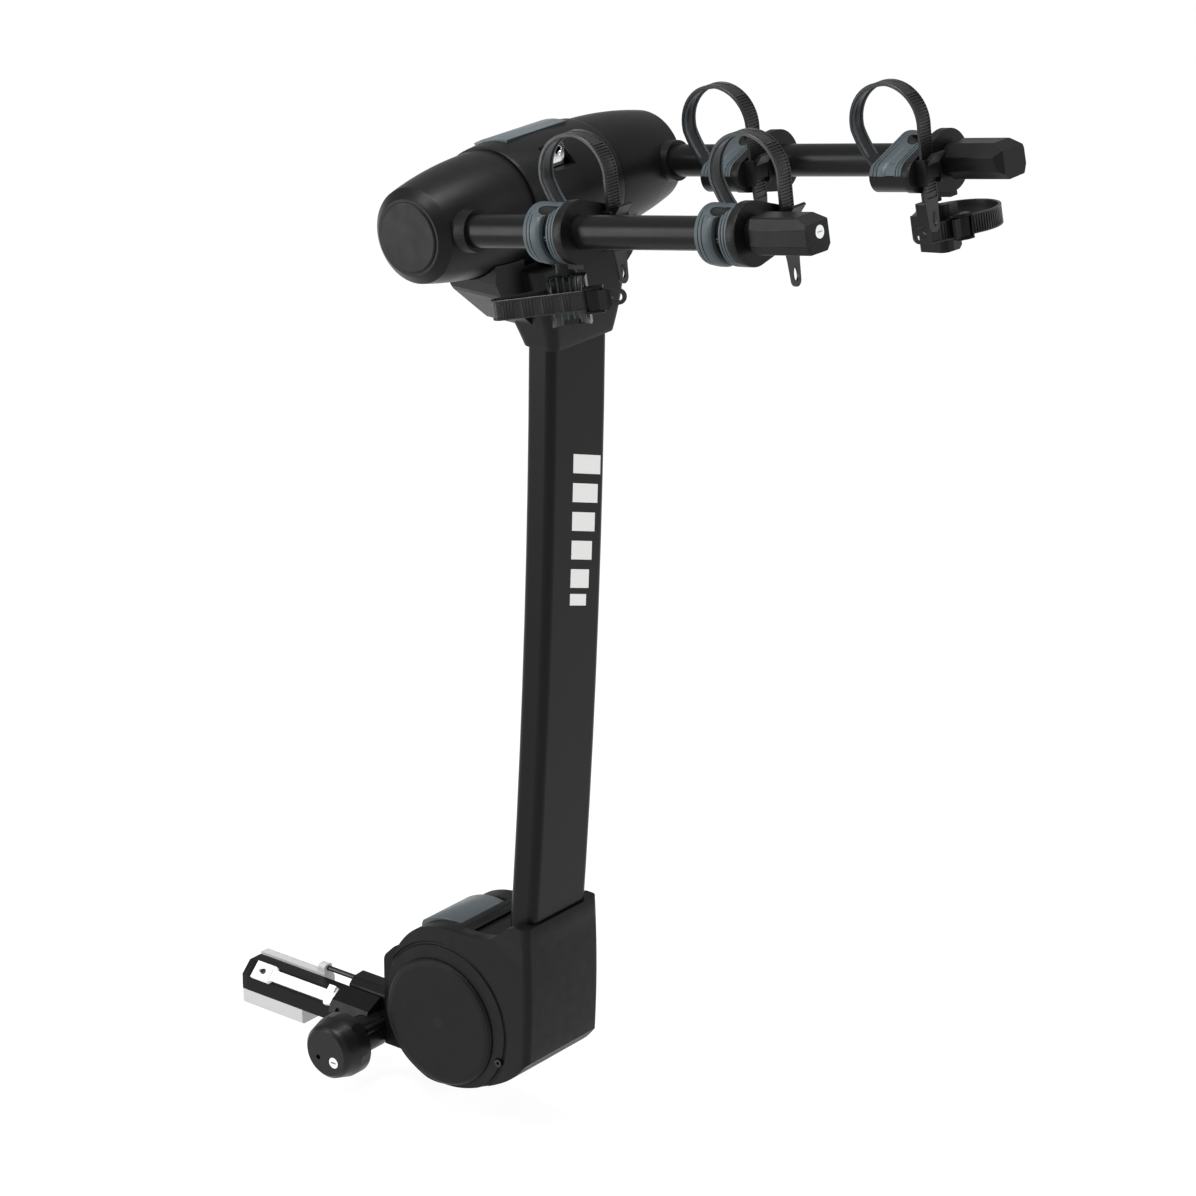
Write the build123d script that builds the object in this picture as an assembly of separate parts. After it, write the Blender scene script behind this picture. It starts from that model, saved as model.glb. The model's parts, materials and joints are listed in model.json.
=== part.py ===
from build123d import *
import os
from math import sqrt

# Hanging bicycle carrier for a vehicle's hitch receiver: two fold-down arms on a tilting mast.
# Millimetres. +X points rearward, away from the vehicle, +Y across the vehicle and +Z up.
# The origin is the centre of the shank bar, at the end that goes into the receiver.

# ---------------------------------------------------------------- driving dimensions
BAR = 31.75                  # square shank bar, 1-1/4 in
BAR_WALL = 4.0
BEVEL = 14.0                 # leg of the bevel along the bar's upper near corner
BEVEL_END_X = 150.0
BAR_END_X = 292.0
RECEIVER = 50.0              # square envelope of the bar with its two adapter blocks
ADAPTER_LENGTH = 97.0

KNOB_X, KNOB_Z, KNOB_R = 203.0, -4.0, 36.0
KNOB_FACE_Y, KNOB_BACK_Y = -98.0, -60.0
SHAFT_R = 6.0

PIVOT_X, PIVOT_Z = 341.0, 64.0
DISC_R = 75.0                # round pivot caps on both sides of the knuckle
KNUCKLE_HALF_WIDTH = 61.5
KNUCKLE_WALL = 3.5
PLATE_GAP, PLATE = 32.0, 5.0     # distance between the bracket's plates, and their thickness
EAR_IN, EAR_OUT = 22.0, 28.5     # the mast foot's ears, from the middle plane
PIVOT_BOLT_R = 8.0

MAST_WIDTH, MAST_DEPTH, MAST_CORNER, MAST_WALL = 93.0, 35.0, 9.0, 2.5
MAST_BOTTOM = (434.0, 104.0)     # (x, z) of the bowed tube's centre line at its ends and middle
MAST_MIDDLE = (463.0, 545.0)
MAST_TOP = (472.5, 930.0)

HEAD_X, HEAD_Z = 427.0, 1004.5   # axis that the arms fold about
HEAD_HALF = 194.0
COLLAR_Y = 70.0                  # where the turning hubs meet the fixed centre cover
HEAD_R, HUB_R, HUB_END_R, HUB_FACE_R = 67.0, 62.0, 49.0, 39.0
SHELL = 3.0

ARM_Y, ARM_R, ARM_WALL = 162.0, 16.7, 2.0
ARM_TILT = 10.2                  # upward tilt of the arms in use, in degrees
ARM_TIP = 484.0                  # along the arm from the fold axis
ARM_END_LENGTH = 66.0
STATIONS = {"inner": 163.0, "outer": 375.0}   # cradle centres along the arm

CRADLE_IN, CRADLE_OUT = -16.0, 34.0   # ends of a cradle along the arm, from its station
FLANGE_R = 31.5
CORE_R = 25.0
TUBE_SEAT_R = 24.0               # groove that a bicycle's top tube lies in
STRAP_WIDTH, STRAP_THICK, STRAP_LOOP_R = 20.0, 3.0, 41.0
STRAP_Y = 47.0                   # strap's middle plane, inward from the arm's axis

RUNNING = 0.06                   # radial clearance of a running fit
GAP = 0.4                        # clearance between bodies that move past each other

os.makedirs("parts", exist_ok=True)


def save(shape, name):
    """Write one node's STEP file."""
    shape.label = name
    export_step(shape, f"parts/{name}.step")


def union(*pieces):
    """Fuse shapes into one."""
    result = pieces[0]
    for piece in pieces[1:]:
        result = result + piece
    return result


def group(*solids):
    """Separate solids that share one node."""
    return Compound(children=list(solids))


def box(x0, x1, y0, y1, z0, z1):
    """Axis-aligned box between two corners."""
    return Pos((x0 + x1) / 2, (y0 + y1) / 2, (z0 + z1) / 2) * Box(x1 - x0, y1 - y0, z1 - z0)


def rod(axis, start, length, radius):
    """Cylinder from start along +X, +Y or +Z."""
    directions = {"x": (1, 0, 0), "y": (0, 1, 0), "z": (0, 0, 1)}
    return extrude(Plane(origin=start, z_dir=directions[axis]) * Circle(radius), length)


def slab_xz(outline, y0, y1):
    """Extrude an outline drawn in (x, z) between two values of y."""
    face = make_face(outline)
    plane = Plane(origin=(0, y1, 0), x_dir=(1, 0, 0), z_dir=(0, -1, 0))
    return extrude(plane * face, y1 - y0)


def slab_yz(outline, x0, x1):
    """Extrude an outline drawn in (y, z) between two values of x."""
    face = make_face(outline)
    plane = Plane(origin=(x0, 0, 0), x_dir=(0, 1, 0), z_dir=(1, 0, 0))
    return extrude(plane * face, x1 - x0)


def polygon(*points):
    """Closed outline through points."""
    return Polyline(*points, close=True)


def turned(profile, origin, axis):
    """Revolve an (along, radius) profile about an axis in direction x or y."""
    if axis == "y":
        plane = Plane(origin=origin, x_dir=(0, 1, 0), z_dir=(1, 0, 0))
        direction = (0, 1, 0)
    else:
        plane = Plane(origin=origin, x_dir=(1, 0, 0), z_dir=(0, -1, 0))
        direction = (1, 0, 0)
    return revolve(plane * make_face(profile), axis=Axis(origin, direction))


def cap_screw(start, direction, length, radius=2.5):
    """Socket-head screw: start is under the head, direction is where the thread goes."""
    plane = Plane(origin=start, z_dir=direction)
    shank = extrude(plane * Circle(radius), length)
    head = extrude(plane * Circle(radius * 1.7), -radius * 1.8)
    socket = extrude(plane.offset(-radius * 1.8) * RegularPolygon(radius * 0.85, 6), radius)
    return shank + head - socket


# ---------------------------------------------------------------- shank
H = BAR / 2
BEVEL_MID = H - BEVEL / 2
BEVEL_PLANE = Plane(origin=(0, -BEVEL_MID, BEVEL_MID), x_dir=(1, 0, 0), z_dir=(0, -1, 1))
FAR_SIDE = RECEIVER - H          # far face and bottom face of the 50 mm envelope
DRAW_Z = KNOB_Z                  # the draw screw and the knob shaft meet on one level


def bar_section(half, bevel):
    """Square with its upper near corner cut off."""
    return polygon((-half, -half), (half, -half), (half, half), (bevel - half, half), (-half, half - bevel))


def make_bar():
    inner = H - BAR_WALL
    inner_bevel = BEVEL + BAR_WALL * (sqrt(2) - 2)
    beveled = slab_yz(bar_section(H, BEVEL), 10, BEVEL_END_X)
    plain = box(BEVEL_END_X, BAR_END_X, -H, H, -H, H)
    bar = beveled + plain - slab_yz(bar_section(inner, inner_bevel), 0, BAR_END_X)
    bar -= box(BEVEL_END_X + BAR_WALL, BAR_END_X, -inner, inner, -inner, inner)
    slot = BEVEL_PLANE * Pos(79, 0, 0) * Box(46, 9, 20)
    bar -= slot
    bar -= rod("y", (KNOB_X, -H - 1, KNOB_Z), BAR_WALL + 2, SHAFT_R + 2)
    for start, direction in ADAPTER_SCREWS:
        bar -= extrude(Plane(origin=start, z_dir=direction) * Circle(2.6), 40)
    return bar


def make_end_plug():
    cap = slab_yz(bar_section(H, BEVEL), 0, 9.9)
    cap = chamfer(cap.faces().sort_by(Axis.X)[0].edges(), 2.5)
    inner = H - BAR_WALL - 0.1
    spigot = slab_yz(bar_section(inner, BEVEL + (BAR_WALL + 0.1) * (sqrt(2) - 2)), 9.9, 24)
    return cap + spigot


ADAPTER_SCREWS = [
    ((26, FAR_SIDE - 6, -6), (0, -1, 0)),
    ((74, FAR_SIDE - 6, -6), (0, -1, 0)),
    ((26, 4, 6 - FAR_SIDE), (0, 0, 1)),
    ((74, 4, 6 - FAR_SIDE), (0, 0, 1)),
]
ADAPTER_SCREW_LENGTH = 16.0


def drilled(block):
    """Counterbored holes for the screws that hold the adapter blocks to the bar."""
    for start, direction in ADAPTER_SCREWS:
        plane = Plane(origin=start, z_dir=direction)
        block -= extrude(plane * Circle(2.6), 40)
        block -= extrude(plane * Circle(4.6), -20)
    return block


def make_far_adapter():
    top = RECEIVER - FAR_SIDE + 3
    block = box(3, 3 + ADAPTER_LENGTH, H, FAR_SIDE, -H, top)
    block = fillet(block.edges().filter_by(Axis.X).sort_by(lambda e: e.center().Y + e.center().Z)[-1], 10)
    lug = box(90, 100, 17, 30, top - 6, TIE_ROD[1] + 5)
    lug = fillet(lug.edges().filter_by(Axis.X).group_by(Axis.Z)[-1], 4)
    block = block + lug - rod("x", (88, *TIE_ROD), 14, 3)
    return drilled(block)


def make_lower_adapter():
    block = box(3, ADAPTER_LENGTH - 3, -H, H, -FAR_SIDE, -H)
    block = chamfer(block.edges().filter_by(Axis.X).group_by(Axis.Z)[0], 2.5)
    block -= rod("x", (ADAPTER_LENGTH - 15, 0, -22), 13, 2.6)
    return drilled(block)


TIE_ROD = (24.0, 24.0)           # (y, z) of the rod that keeps the far adapter from sliding off


def make_tie_rod():
    return chamfer(rod("x", (92, *TIE_ROD), 76, 3).edges(), 0.5)


def make_knob_housing_near():
    saddle = slab_yz(polygon((-H, -22), (-31, -22), (-36, -10), (-36, 8), (-29, 21), (-8, 31.5), (-8, H), (-H, H)),
                     152, 206)
    saddle = fillet(saddle.edges().filter_by(Axis.X).group_by(Axis.Y)[0], 3)
    neck = rod("y", (KNOB_X, -57, KNOB_Z), 57 - H, 21)
    boss = rod("y", (KNOB_X + 15, -49, KNOB_Z + 12), 49 - H, 5)
    housing = saddle + neck + boss
    housing -= rod("y", (KNOB_X, -60, KNOB_Z), 60, SHAFT_R + RUNNING)
    housing -= box(150, 240, -H, 0, -H, H)
    housing -= rod("y", (164, -40, 12), 8, 3)
    return housing


def make_knob_housing_far():
    shell = slab_yz(polygon((-6, H), (-6, 33), (2, 40), (18, 41), (31, 32), (33, 14), (30, -14), (H, -14), (H, H)),
                    158, 212)
    edges = shell.edges().filter_by(Axis.X).filter_by(lambda e: e.center().Z > 20)
    shell = fillet(edges, 4)
    return shell - rod("x", (150, *TIE_ROD), 18.2, 3)


def make_wedge():
    """Sliding wedge on the bevel, with a key through the slot and a nut on the draw screw."""
    lift = 0.3
    plan = polygon((18, -10.5), (44, -10.5), (47, -6.5), (127, -6.5), (130, -10.5), (138, -9), (140, 11),
                   (133, 13), (127, 6.5), (50, 6.5), (46, 10.5), (18, 10.5))
    body = extrude(Plane(origin=(0, 0, lift)) * make_face(plan), 4.5)
    head = Pos(31, 0, lift + 3) * Box(26, 20, 6)
    head = chamfer(head.edges().group_by(Axis.X)[0].group_by(Axis.Z)[-1], 3)
    foot = Pos(133, 9, lift + 4) * Box(10, 7, 8)
    wedge = BEVEL_PLANE * (body + head + foot)
    key = BEVEL_PLANE * Pos(67, 0, -5) * Box(20, 8.4, 11.5)
    nut = box(57, 77, -8, 7, DRAW_Z - 6.5, DRAW_Z + 6.5)
    wedge = wedge + key + nut
    wedge -= rod("x", (50, 0, DRAW_Z), 40, 4 + RUNNING)
    return wedge - BEVEL_PLANE * Pos(29, 0, 4) * Cylinder(2.6, 8)


GEAR_OUTER, GEAR_INNER = 8.0, 3.0


def make_draw_screw():
    """Threaded rod with a cone gear at the knob's end."""
    thread = rod("x", (48, 0, DRAW_Z), KNOB_X - GEAR_OUTER - 48, 4)
    gear = turned(polygon((-GEAR_OUTER - 3, 0), (-GEAR_OUTER - 3, GEAR_OUTER - GAP),
                          (-GEAR_OUTER, GEAR_OUTER - GAP), (-GEAR_INNER, GEAR_INNER - GAP), (-GEAR_INNER, 0)),
                  (KNOB_X, 0, DRAW_Z), "x")
    return thread + gear


def make_knob_shaft():
    shaft = rod("y", (KNOB_X, KNOB_BACK_Y - 20, KNOB_Z), -GEAR_OUTER - 3 - (KNOB_BACK_Y - 20), SHAFT_R)
    gear = turned(polygon((-GEAR_OUTER - 3, 0), (-GEAR_OUTER - 3, SHAFT_R), (-GEAR_OUTER - 1, GEAR_OUTER - 1.5),
                          (-GEAR_OUTER + 0.6, GEAR_OUTER - 1.2), (-GEAR_INNER, GEAR_INNER - 1.2), (-GEAR_INNER, 0)),
                  (KNOB_X, 0, KNOB_Z), "y")
    return shaft + gear


LOCK_X, LOCK_Z = KNOB_X + 11, KNOB_Z - 9


def make_knob():
    """Tapered grip with six soft flats, a recess for the lock and a small blind hole."""
    grip = turned(polygon((KNOB_BACK_Y, 0), (KNOB_BACK_Y, KNOB_R - 2), (KNOB_BACK_Y - 2, KNOB_R),
                          (KNOB_BACK_Y - 16, KNOB_R), (KNOB_FACE_Y + 4, KNOB_R - 5),
                          (KNOB_FACE_Y, KNOB_R - 9), (KNOB_FACE_Y, 0)), (KNOB_X, 0, KNOB_Z), "y")
    hexagon = RegularPolygon(KNOB_R * 1.14, 6, rotation=12)
    prism = extrude(Plane(origin=(KNOB_X, KNOB_FACE_Y - 1, KNOB_Z), z_dir=(0, 1, 0)) * hexagon, 60)
    knob = grip & fillet(prism.edges().filter_by(Axis.Y), 9)
    knob -= rod("y", (KNOB_X, KNOB_BACK_Y - 20, KNOB_Z), 30, SHAFT_R)
    knob -= rod("y", (LOCK_X, KNOB_FACE_Y - 1, LOCK_Z), 17, 7 + RUNNING)
    return knob - rod("y", (KNOB_X - 11, KNOB_FACE_Y - 1, LOCK_Z + 1), 10, 3)


def make_lock_core(origin, direction, depth):
    """Key cylinder seen end-on, with its keyway."""
    plane = Plane(origin=origin, z_dir=direction)
    core = chamfer(extrude(plane * Circle(7), -depth).edges(), 0.6)
    return core - extrude(plane * Rectangle(1.6, 7), -4)


# ---------------------------------------------------------------- pivot bracket and knuckle
def make_pivot_bracket():
    """Two plates welded to the bar, with a cross web, that carry the mast's pivot bolt."""
    plates = None
    with BuildSketch() as outline:
        with BuildLine():
            Polyline((224, -H + 1), (224, 94), (242, 112), (300, 112), (PIVOT_X, PIVOT_Z + 40),
                     (PIVOT_X + 38, PIVOT_Z), (PIVOT_X, PIVOT_Z - 40), (308, -H + 1), (224, -H + 1))
        make_face()
        fillet(outline.vertices().filter_by(lambda v: v.X < 250 and v.Y > 80), 14)
        fillet(outline.vertices().filter_by(lambda v: v.X > 310 or (v.X > 290 and v.Y > 80)), 18)
    for side in (-1, 1):
        inner = PLATE_GAP / 2
        y0, y1 = sorted((side * inner, side * (inner + PLATE)))
        plane = Plane(origin=(0, y1, 0), x_dir=(1, 0, 0), z_dir=(0, -1, 0))
        plate = extrude(plane * outline.sketch, y1 - y0)
        plates = plate if plates is None else plates + plate
    web = box(236, 280, -PLATE_GAP / 2, PLATE_GAP / 2, 92, 97)
    bracket = plates + web
    bracket -= rod("y", (PIVOT_X, -40, PIVOT_Z), 80, PIVOT_BOLT_R)
    return bracket - box(286, 298, -30, 30, 106, 120)      # the latch's seat in the upper rim


def make_pivot_bolt():
    """Shouldered pivot bolt with its head and nut."""
    shank = rod("y", (PIVOT_X, -34, PIVOT_Z), 76, PIVOT_BOLT_R)
    head = extrude(Plane(origin=(PIVOT_X, -34, PIVOT_Z), z_dir=(0, -1, 0)) * RegularPolygon(13.5, 6), 8)
    nut = extrude(Plane(origin=(PIVOT_X, 32, PIVOT_Z), z_dir=(0, 1, 0)) * RegularPolygon(13.5, 6), 9)
    return shank + head + nut


def knuckle_outline(inset=0.0):
    """Side outline of the knuckle in (x, z)."""
    right = 463 - inset
    top = 208 - inset
    left = PIVOT_X - DISC_R + inset
    with BuildLine() as line:
        ThreePointArc((right, 48), (right + 2.5, 128), (right, top))
        Line((right, top), (447, top))
        Spline((447, top), (415, 186 - inset), (384, 179.5 - inset), (352, 178 - inset), (321, 172.5 - inset),
               tangents=[(-1, -0.25), (-1, -0.35)])
        Spline((321, 172.5 - inset), (288 + inset * 0.7, 148 - inset * 0.6), (left, 78),
               tangents=[(-1, -0.35), (0, -1)])
        ThreePointArc((left, 78), (287 + inset * 0.7, 5 + inset * 0.6), (345, -11 + inset))
        Spline((345, -11 + inset), (402, 3.5 + inset), (452 - inset, 36 + inset * 0.6), (right, 48),
               tangents=[(1, 0), (0.8, 0.6)])
    return line.line


def mast_envelope(clearance):
    """Solid of the mast's outside, used to open the housings around it."""
    return sweep_mast(MAST_WIDTH + 2 * clearance, MAST_DEPTH + 2 * clearance, MAST_CORNER + clearance)


def mast_arc():
    bottom, middle, top = [(x, 0, z) for x, z in (MAST_BOTTOM, MAST_MIDDLE, MAST_TOP)]
    return ThreePointArc(bottom, middle, top)


def sweep_mast(width, depth, corner):
    path = mast_arc()
    plane = Plane(origin=path @ 0, x_dir=(0, 1, 0), z_dir=path % 0)
    return sweep(plane * RectangleRounded(width, depth, corner), path=path)


def make_mast_tube():
    tube = mast_envelope(0)
    tube -= sweep_mast(MAST_WIDTH - 2 * MAST_WALL, MAST_DEPTH - 2 * MAST_WALL, MAST_CORNER - MAST_WALL)
    for side in (-1, 1):
        y0, y1 = sorted((side * (EAR_IN - 0.2), side * (EAR_OUT + 0.2)))
        tube -= box(400, 430, y0, y1, 100, 140)      # slot for an ear of the foot
    for z in FOOT_BOLT_Z:
        tube -= rod("y", (439, -60, z), 120, 4.1)
    return tube


FOOT_BOLT_Z = (136, 176)


def make_mast_foot():
    """Steel fork: two ears on the pivot bolt, joined by a block inside the mast's lower end."""
    outline = polygon((PIVOT_X - 16, PIVOT_Z + 18), (PIVOT_X + 4, PIVOT_Z + 25), (428, 132), (431, 196), (447, 196),
                      (446, 108), (PIVOT_X + 20, PIVOT_Z - 18), (PIVOT_X, PIVOT_Z - 25), (PIVOT_X - 20, PIVOT_Z - 14))
    block = box(431, 446, -EAR_IN, EAR_IN, 120, 196)
    near = slab_xz(outline, -EAR_OUT, -EAR_IN)
    far = slab_xz(outline, EAR_IN, EAR_OUT)
    foot = union(block, near, far)
    foot -= rod("y", (PIVOT_X, -50, PIVOT_Z), 100, PIVOT_BOLT_R + 2)
    for z in FOOT_BOLT_Z:
        foot -= rod("y", (439, -60, z), 120, 4)
    return foot


def make_pivot_bushes():
    """Two nylon bushes in the mast foot's ears."""
    bushes = []
    for start in (-EAR_OUT, EAR_IN):
        length = EAR_OUT - EAR_IN
        outer = rod("y", (PIVOT_X, start, PIVOT_Z), length, PIVOT_BOLT_R + 2)
        bushes.append(outer - rod("y", (PIVOT_X, start - 1, PIVOT_Z), length + 2, PIVOT_BOLT_R + RUNNING))
    return group(*bushes)


LEVER_X = (298.0, 352.0)         # tilt lever along x, in the knuckle's top
LEVER_HALF = 38.0
LEVER_PIN = (300.0, 152.0)


def knuckle_skin(x):
    """Height of the lever's top surface between the side walls."""
    return 168.0 + (x - 298.0) * 0.14


def make_knuckle_housing():
    """One-piece cover round the mast's lower end, open towards the bar and below."""
    half = KNUCKLE_HALF_WIDTH
    shell = slab_xz(knuckle_outline(), -half, half)
    inner = slab_xz(knuckle_outline(KNUCKLE_WALL), -half + KNUCKLE_WALL, half - KNUCKLE_WALL)
    corner = [e for e in shell.edges() if e.center().X > 455 and abs(e.center().Y) > half - 1 and e.length > 100]
    shell = fillet(corner, 8)
    shell -= inner
    # opening for the bar and its bracket, which swing down and rearward as the mast tilts
    shell -= box(200, 330, -half + 9, half - 9, -30, 138)
    shell -= box(200, 412, -half + 9, half - 9, -30, 30)
    # hollow top between the side walls, with the lever's seat
    scoop = Pos(384, 0, 236) * Rot(90, 0, 0) * Cylinder(62, 92)
    floor = slab_xz(polygon((330, 168), (424, 168), (424, 174), (330, 171)), -half + 2, half - 2)
    shell = shell + floor
    shell -= scoop & box(330, 436, -46, 46, 150, 230)
    shell -= box(290, LEVER_X[1] + 1, -LEVER_HALF - 1, LEVER_HALF + 1, 140, 200)
    shell -= mast_envelope(0.2)
    for side in (-1, 1):
        y = side * half
        shell -= Pos(346, y, 70) * Rot(90, 0, 0) * Torus(87, 2.2)
        shell -= rod("y", (PIVOT_X, min(y, y - side * 1.5), PIVOT_Z), 1.5, DISC_R - 1)
        shell -= rod("y", (SCREW_X, min(y, y - side * 20), SCREW_Z), 20, 2.6)
        shell -= rod("y", (SCREW_X, min(y, y - side * 2), SCREW_Z), 2, 6.0)
    return shell


SCREW_X, SCREW_Z = 424.0, 40.0


def make_pivot_caps():
    """Raised round covers over the pivot, one on each side."""
    caps = []
    for side in (-1, 1):
        half = KNUCKLE_HALF_WIDTH - 1.5
        profile = polygon((0, 0), (0, DISC_R - 1.2), (3, DISC_R - 1.2), (5.5, DISC_R - 4), (6.2, DISC_R - 9), (6.4, 0))
        disc = turned(profile, (PIVOT_X, 0, PIVOT_Z), "y")
        caps.append(Pos(0, half, 0) * disc if side > 0 else mirror(Pos(0, half, 0) * disc, about=Plane.XZ))
    return group(*caps)


def make_knuckle_fasteners():
    """Two bolts through the mast and its foot, and the two cover screws."""
    pieces = []
    for z in FOOT_BOLT_Z:
        bolt = rod("y", (439, -50, z), 100, 4)
        head = extrude(Plane(origin=(439, -MAST_WIDTH / 2, z), z_dir=(0, -1, 0)) * RegularPolygon(7.5, 6), 5.3)
        nut = extrude(Plane(origin=(439, MAST_WIDTH / 2, z), z_dir=(0, 1, 0)) * RegularPolygon(7.5, 6), 6.5)
        pieces.append(bolt + head + nut)
    for side in (-1, 1):
        pieces.append(cap_screw((SCREW_X, side * (KNUCKLE_HALF_WIDTH - 2), SCREW_Z), (0, -side, 0), 14, 2.5))
    return group(*pieces)


def make_tilt_lever():
    """Grip panel in the knuckle's top; it swings up about a pin at its front edge."""
    x0, x1 = LEVER_X
    with BuildLine() as line:
        Polyline((x1, knuckle_skin(x1)), (x1, knuckle_skin(x1) - 5), (308, 160), (304, 148), (296, 148), (295, 160),
                 (297, 165))
        ThreePointArc((297, 165), (322, 175.5), (x1, knuckle_skin(x1)))
    panel = slab_xz(line.line, -LEVER_HALF, LEVER_HALF)
    panel -= rod("y", (LEVER_PIN[0], -LEVER_HALF - 1, LEVER_PIN[1]), 2 * LEVER_HALF + 2, 2.5 + RUNNING)
    return panel


def make_lever_pins():
    """Pins that the two release levers turn on."""
    reach = KNUCKLE_HALF_WIDTH - KNUCKLE_WALL - 0.5
    lower = rod("y", (LEVER_PIN[0], -reach, LEVER_PIN[1]), 2 * reach, 2.5)
    upper = rod("y", (FOLD_PIN[0], -COLLAR_Y + 6, FOLD_PIN[1]), 2 * COLLAR_Y - 12, 2.5)
    return group(lower, upper)


def make_tilt_latch():
    """Cross bar that drops towards the seat in the pivot bracket's rim."""
    bar = box(287, 297, -31, 31, 113, 123)
    bar = chamfer(bar.edges().filter_by(Axis.Y), 1.5)
    stem = box(291.5, 295, -5, 5, 122, 140)
    return bar + stem


# ---------------------------------------------------------------- head
def hub_profile(inset):
    """Outer profile of a turning hub, as (y, radius), from its collar to its end face."""
    y0 = COLLAR_Y + GAP
    with BuildLine() as line:
        Line((y0, 0), (y0, HUB_R - inset))
        ThreePointArc((y0, HUB_R - inset), (132, 58.4 - inset), (HEAD_HALF - 9 - inset * 0.5, HUB_END_R - inset))
        Polyline((HEAD_HALF - 9 - inset * 0.5, HUB_END_R - inset), (HEAD_HALF - inset, HUB_FACE_R - inset * 0.5),
                 (HEAD_HALF - inset, 0), (y0, 0))
    return line.line


def near_arm():
    """Placement of arm coordinates: x along the arm, y inward, z up from the arm."""
    return Pos(HEAD_X, -ARM_Y, HEAD_Z) * Rot(0, -ARM_TILT, 0)


def mirrored(shape):
    return mirror(shape, about=Plane.XZ)


CROSS_R = 12.0
RING_R = 22.0                    # notched ring on the cross shaft


def make_cross_shaft():
    """Tube that both hubs are fixed to, turning in two bearings, with the fold latch's notched ring."""
    shaft = rod("y", (HEAD_X, -ARM_Y - 22, HEAD_Z), 2 * ARM_Y + 44, CROSS_R)
    ring = rod("y", (HEAD_X, -25, HEAD_Z), 50, RING_R)
    for angle in (0, 80):
        ring -= Pos(HEAD_X, 0, HEAD_Z) * Rot(0, -angle, 0) * Pos(0, 0, RING_R) * Box(11.5, 52, 8)
    shaft += ring
    return shaft - rod("y", (HEAD_X, -ARM_Y - 23, HEAD_Z), 2 * ARM_Y + 46, CROSS_R - 3)


def make_hub_far():
    """Tapered shell with an inner web that clamps the cross shaft and the arm tube."""
    origin = (HEAD_X, 0, HEAD_Z)
    hub = turned(hub_profile(0), origin, "y")
    hollow = turned(hub_profile(SHELL), origin, "y") & box(300, 560, 0, HEAD_HALF - SHELL - 1.5, 880, 1130)
    hub -= hollow
    socket = mirrored(near_arm() * extrude(Plane.YZ.offset(-10) * Circle(ARM_R + 4.5), 74))
    web = rod("y", (HEAD_X, ARM_Y - 20, HEAD_Z), 40, CROSS_R + 6)
    web += rod("y", (HEAD_X, COLLAR_Y + GAP, HEAD_Z), 8, HUB_R - 1)
    hub = hub + web + socket
    hub -= rod("y", (HEAD_X, 0, HEAD_Z), ARM_Y + 22, CROSS_R)
    hub -= make_hub_cap_far()
    return hub - mirrored(near_arm() * extrude(Plane.YZ.offset(CROSS_R + 1.5) * Circle(ARM_R), 200))


def make_hub_cap_far():
    """Shallow round cap let into the hub's end."""
    profile = polygon((HEAD_HALF - 0.5, 0), (HEAD_HALF - 0.5, HUB_FACE_R - 3), (HEAD_HALF + 0.8, HUB_FACE_R - 3),
                      (HEAD_HALF + 1.4, HUB_FACE_R - 5), (HEAD_HALF + 1.4, 0))
    return turned(profile, (HEAD_X, 0, HEAD_Z), "y")


def make_arm_tube():
    tube = extrude(Plane.YZ.offset(CROSS_R + 1.5) * Circle(ARM_R), ARM_TIP - 12 - CROSS_R - 1.5)
    return near_arm() * (tube - extrude(Plane.YZ.offset(CROSS_R) * Circle(ARM_R - ARM_WALL), ARM_TIP))


def make_arm_end(lock):
    """Faceted cap on the arm's tip; one side carries the cable lock's key cylinder."""
    start = ARM_TIP - ARM_END_LENGTH
    outline = Polyline((-16, -17), (11, -17.5), (20, -8), (21.5, 6), (12, 19), (-15, 19), (-20, 8), (-20.5, -8),
                       close=True)
    block = extrude(Plane.YZ.offset(start) * make_face(outline), ARM_END_LENGTH)
    block = fillet(block.edges().filter_by(Axis.X), 2.5)
    tip = Plane(origin=(ARM_TIP - 13, 0, 19), x_dir=(0, 1, 0), z_dir=(0.55, 0, 1))
    block -= extrude(tip * Rectangle(80, 80), 40)
    side = Plane(origin=(ARM_TIP - 9, 21, 0), x_dir=(0, 0, 1), z_dir=(0.5, 1, 0))
    block -= extrude(side * Rectangle(80, 80), 40)
    block -= extrude(Plane.YZ.offset(start - 1) * Circle(ARM_R), ARM_END_LENGTH - 11)
    if lock:
        block -= extrude(Plane.YZ.offset(ARM_TIP + 1) * Pos(3, 2) * Circle(7 + RUNNING), -11)
    return near_arm() * block


def make_arm_lock():
    return near_arm() * make_lock_core((ARM_TIP - 0.2, 3, 2), (1, 0, 0), 9)


FOLD_PIN = (HEAD_X - 31.0, HEAD_Z + 48.0)


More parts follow.
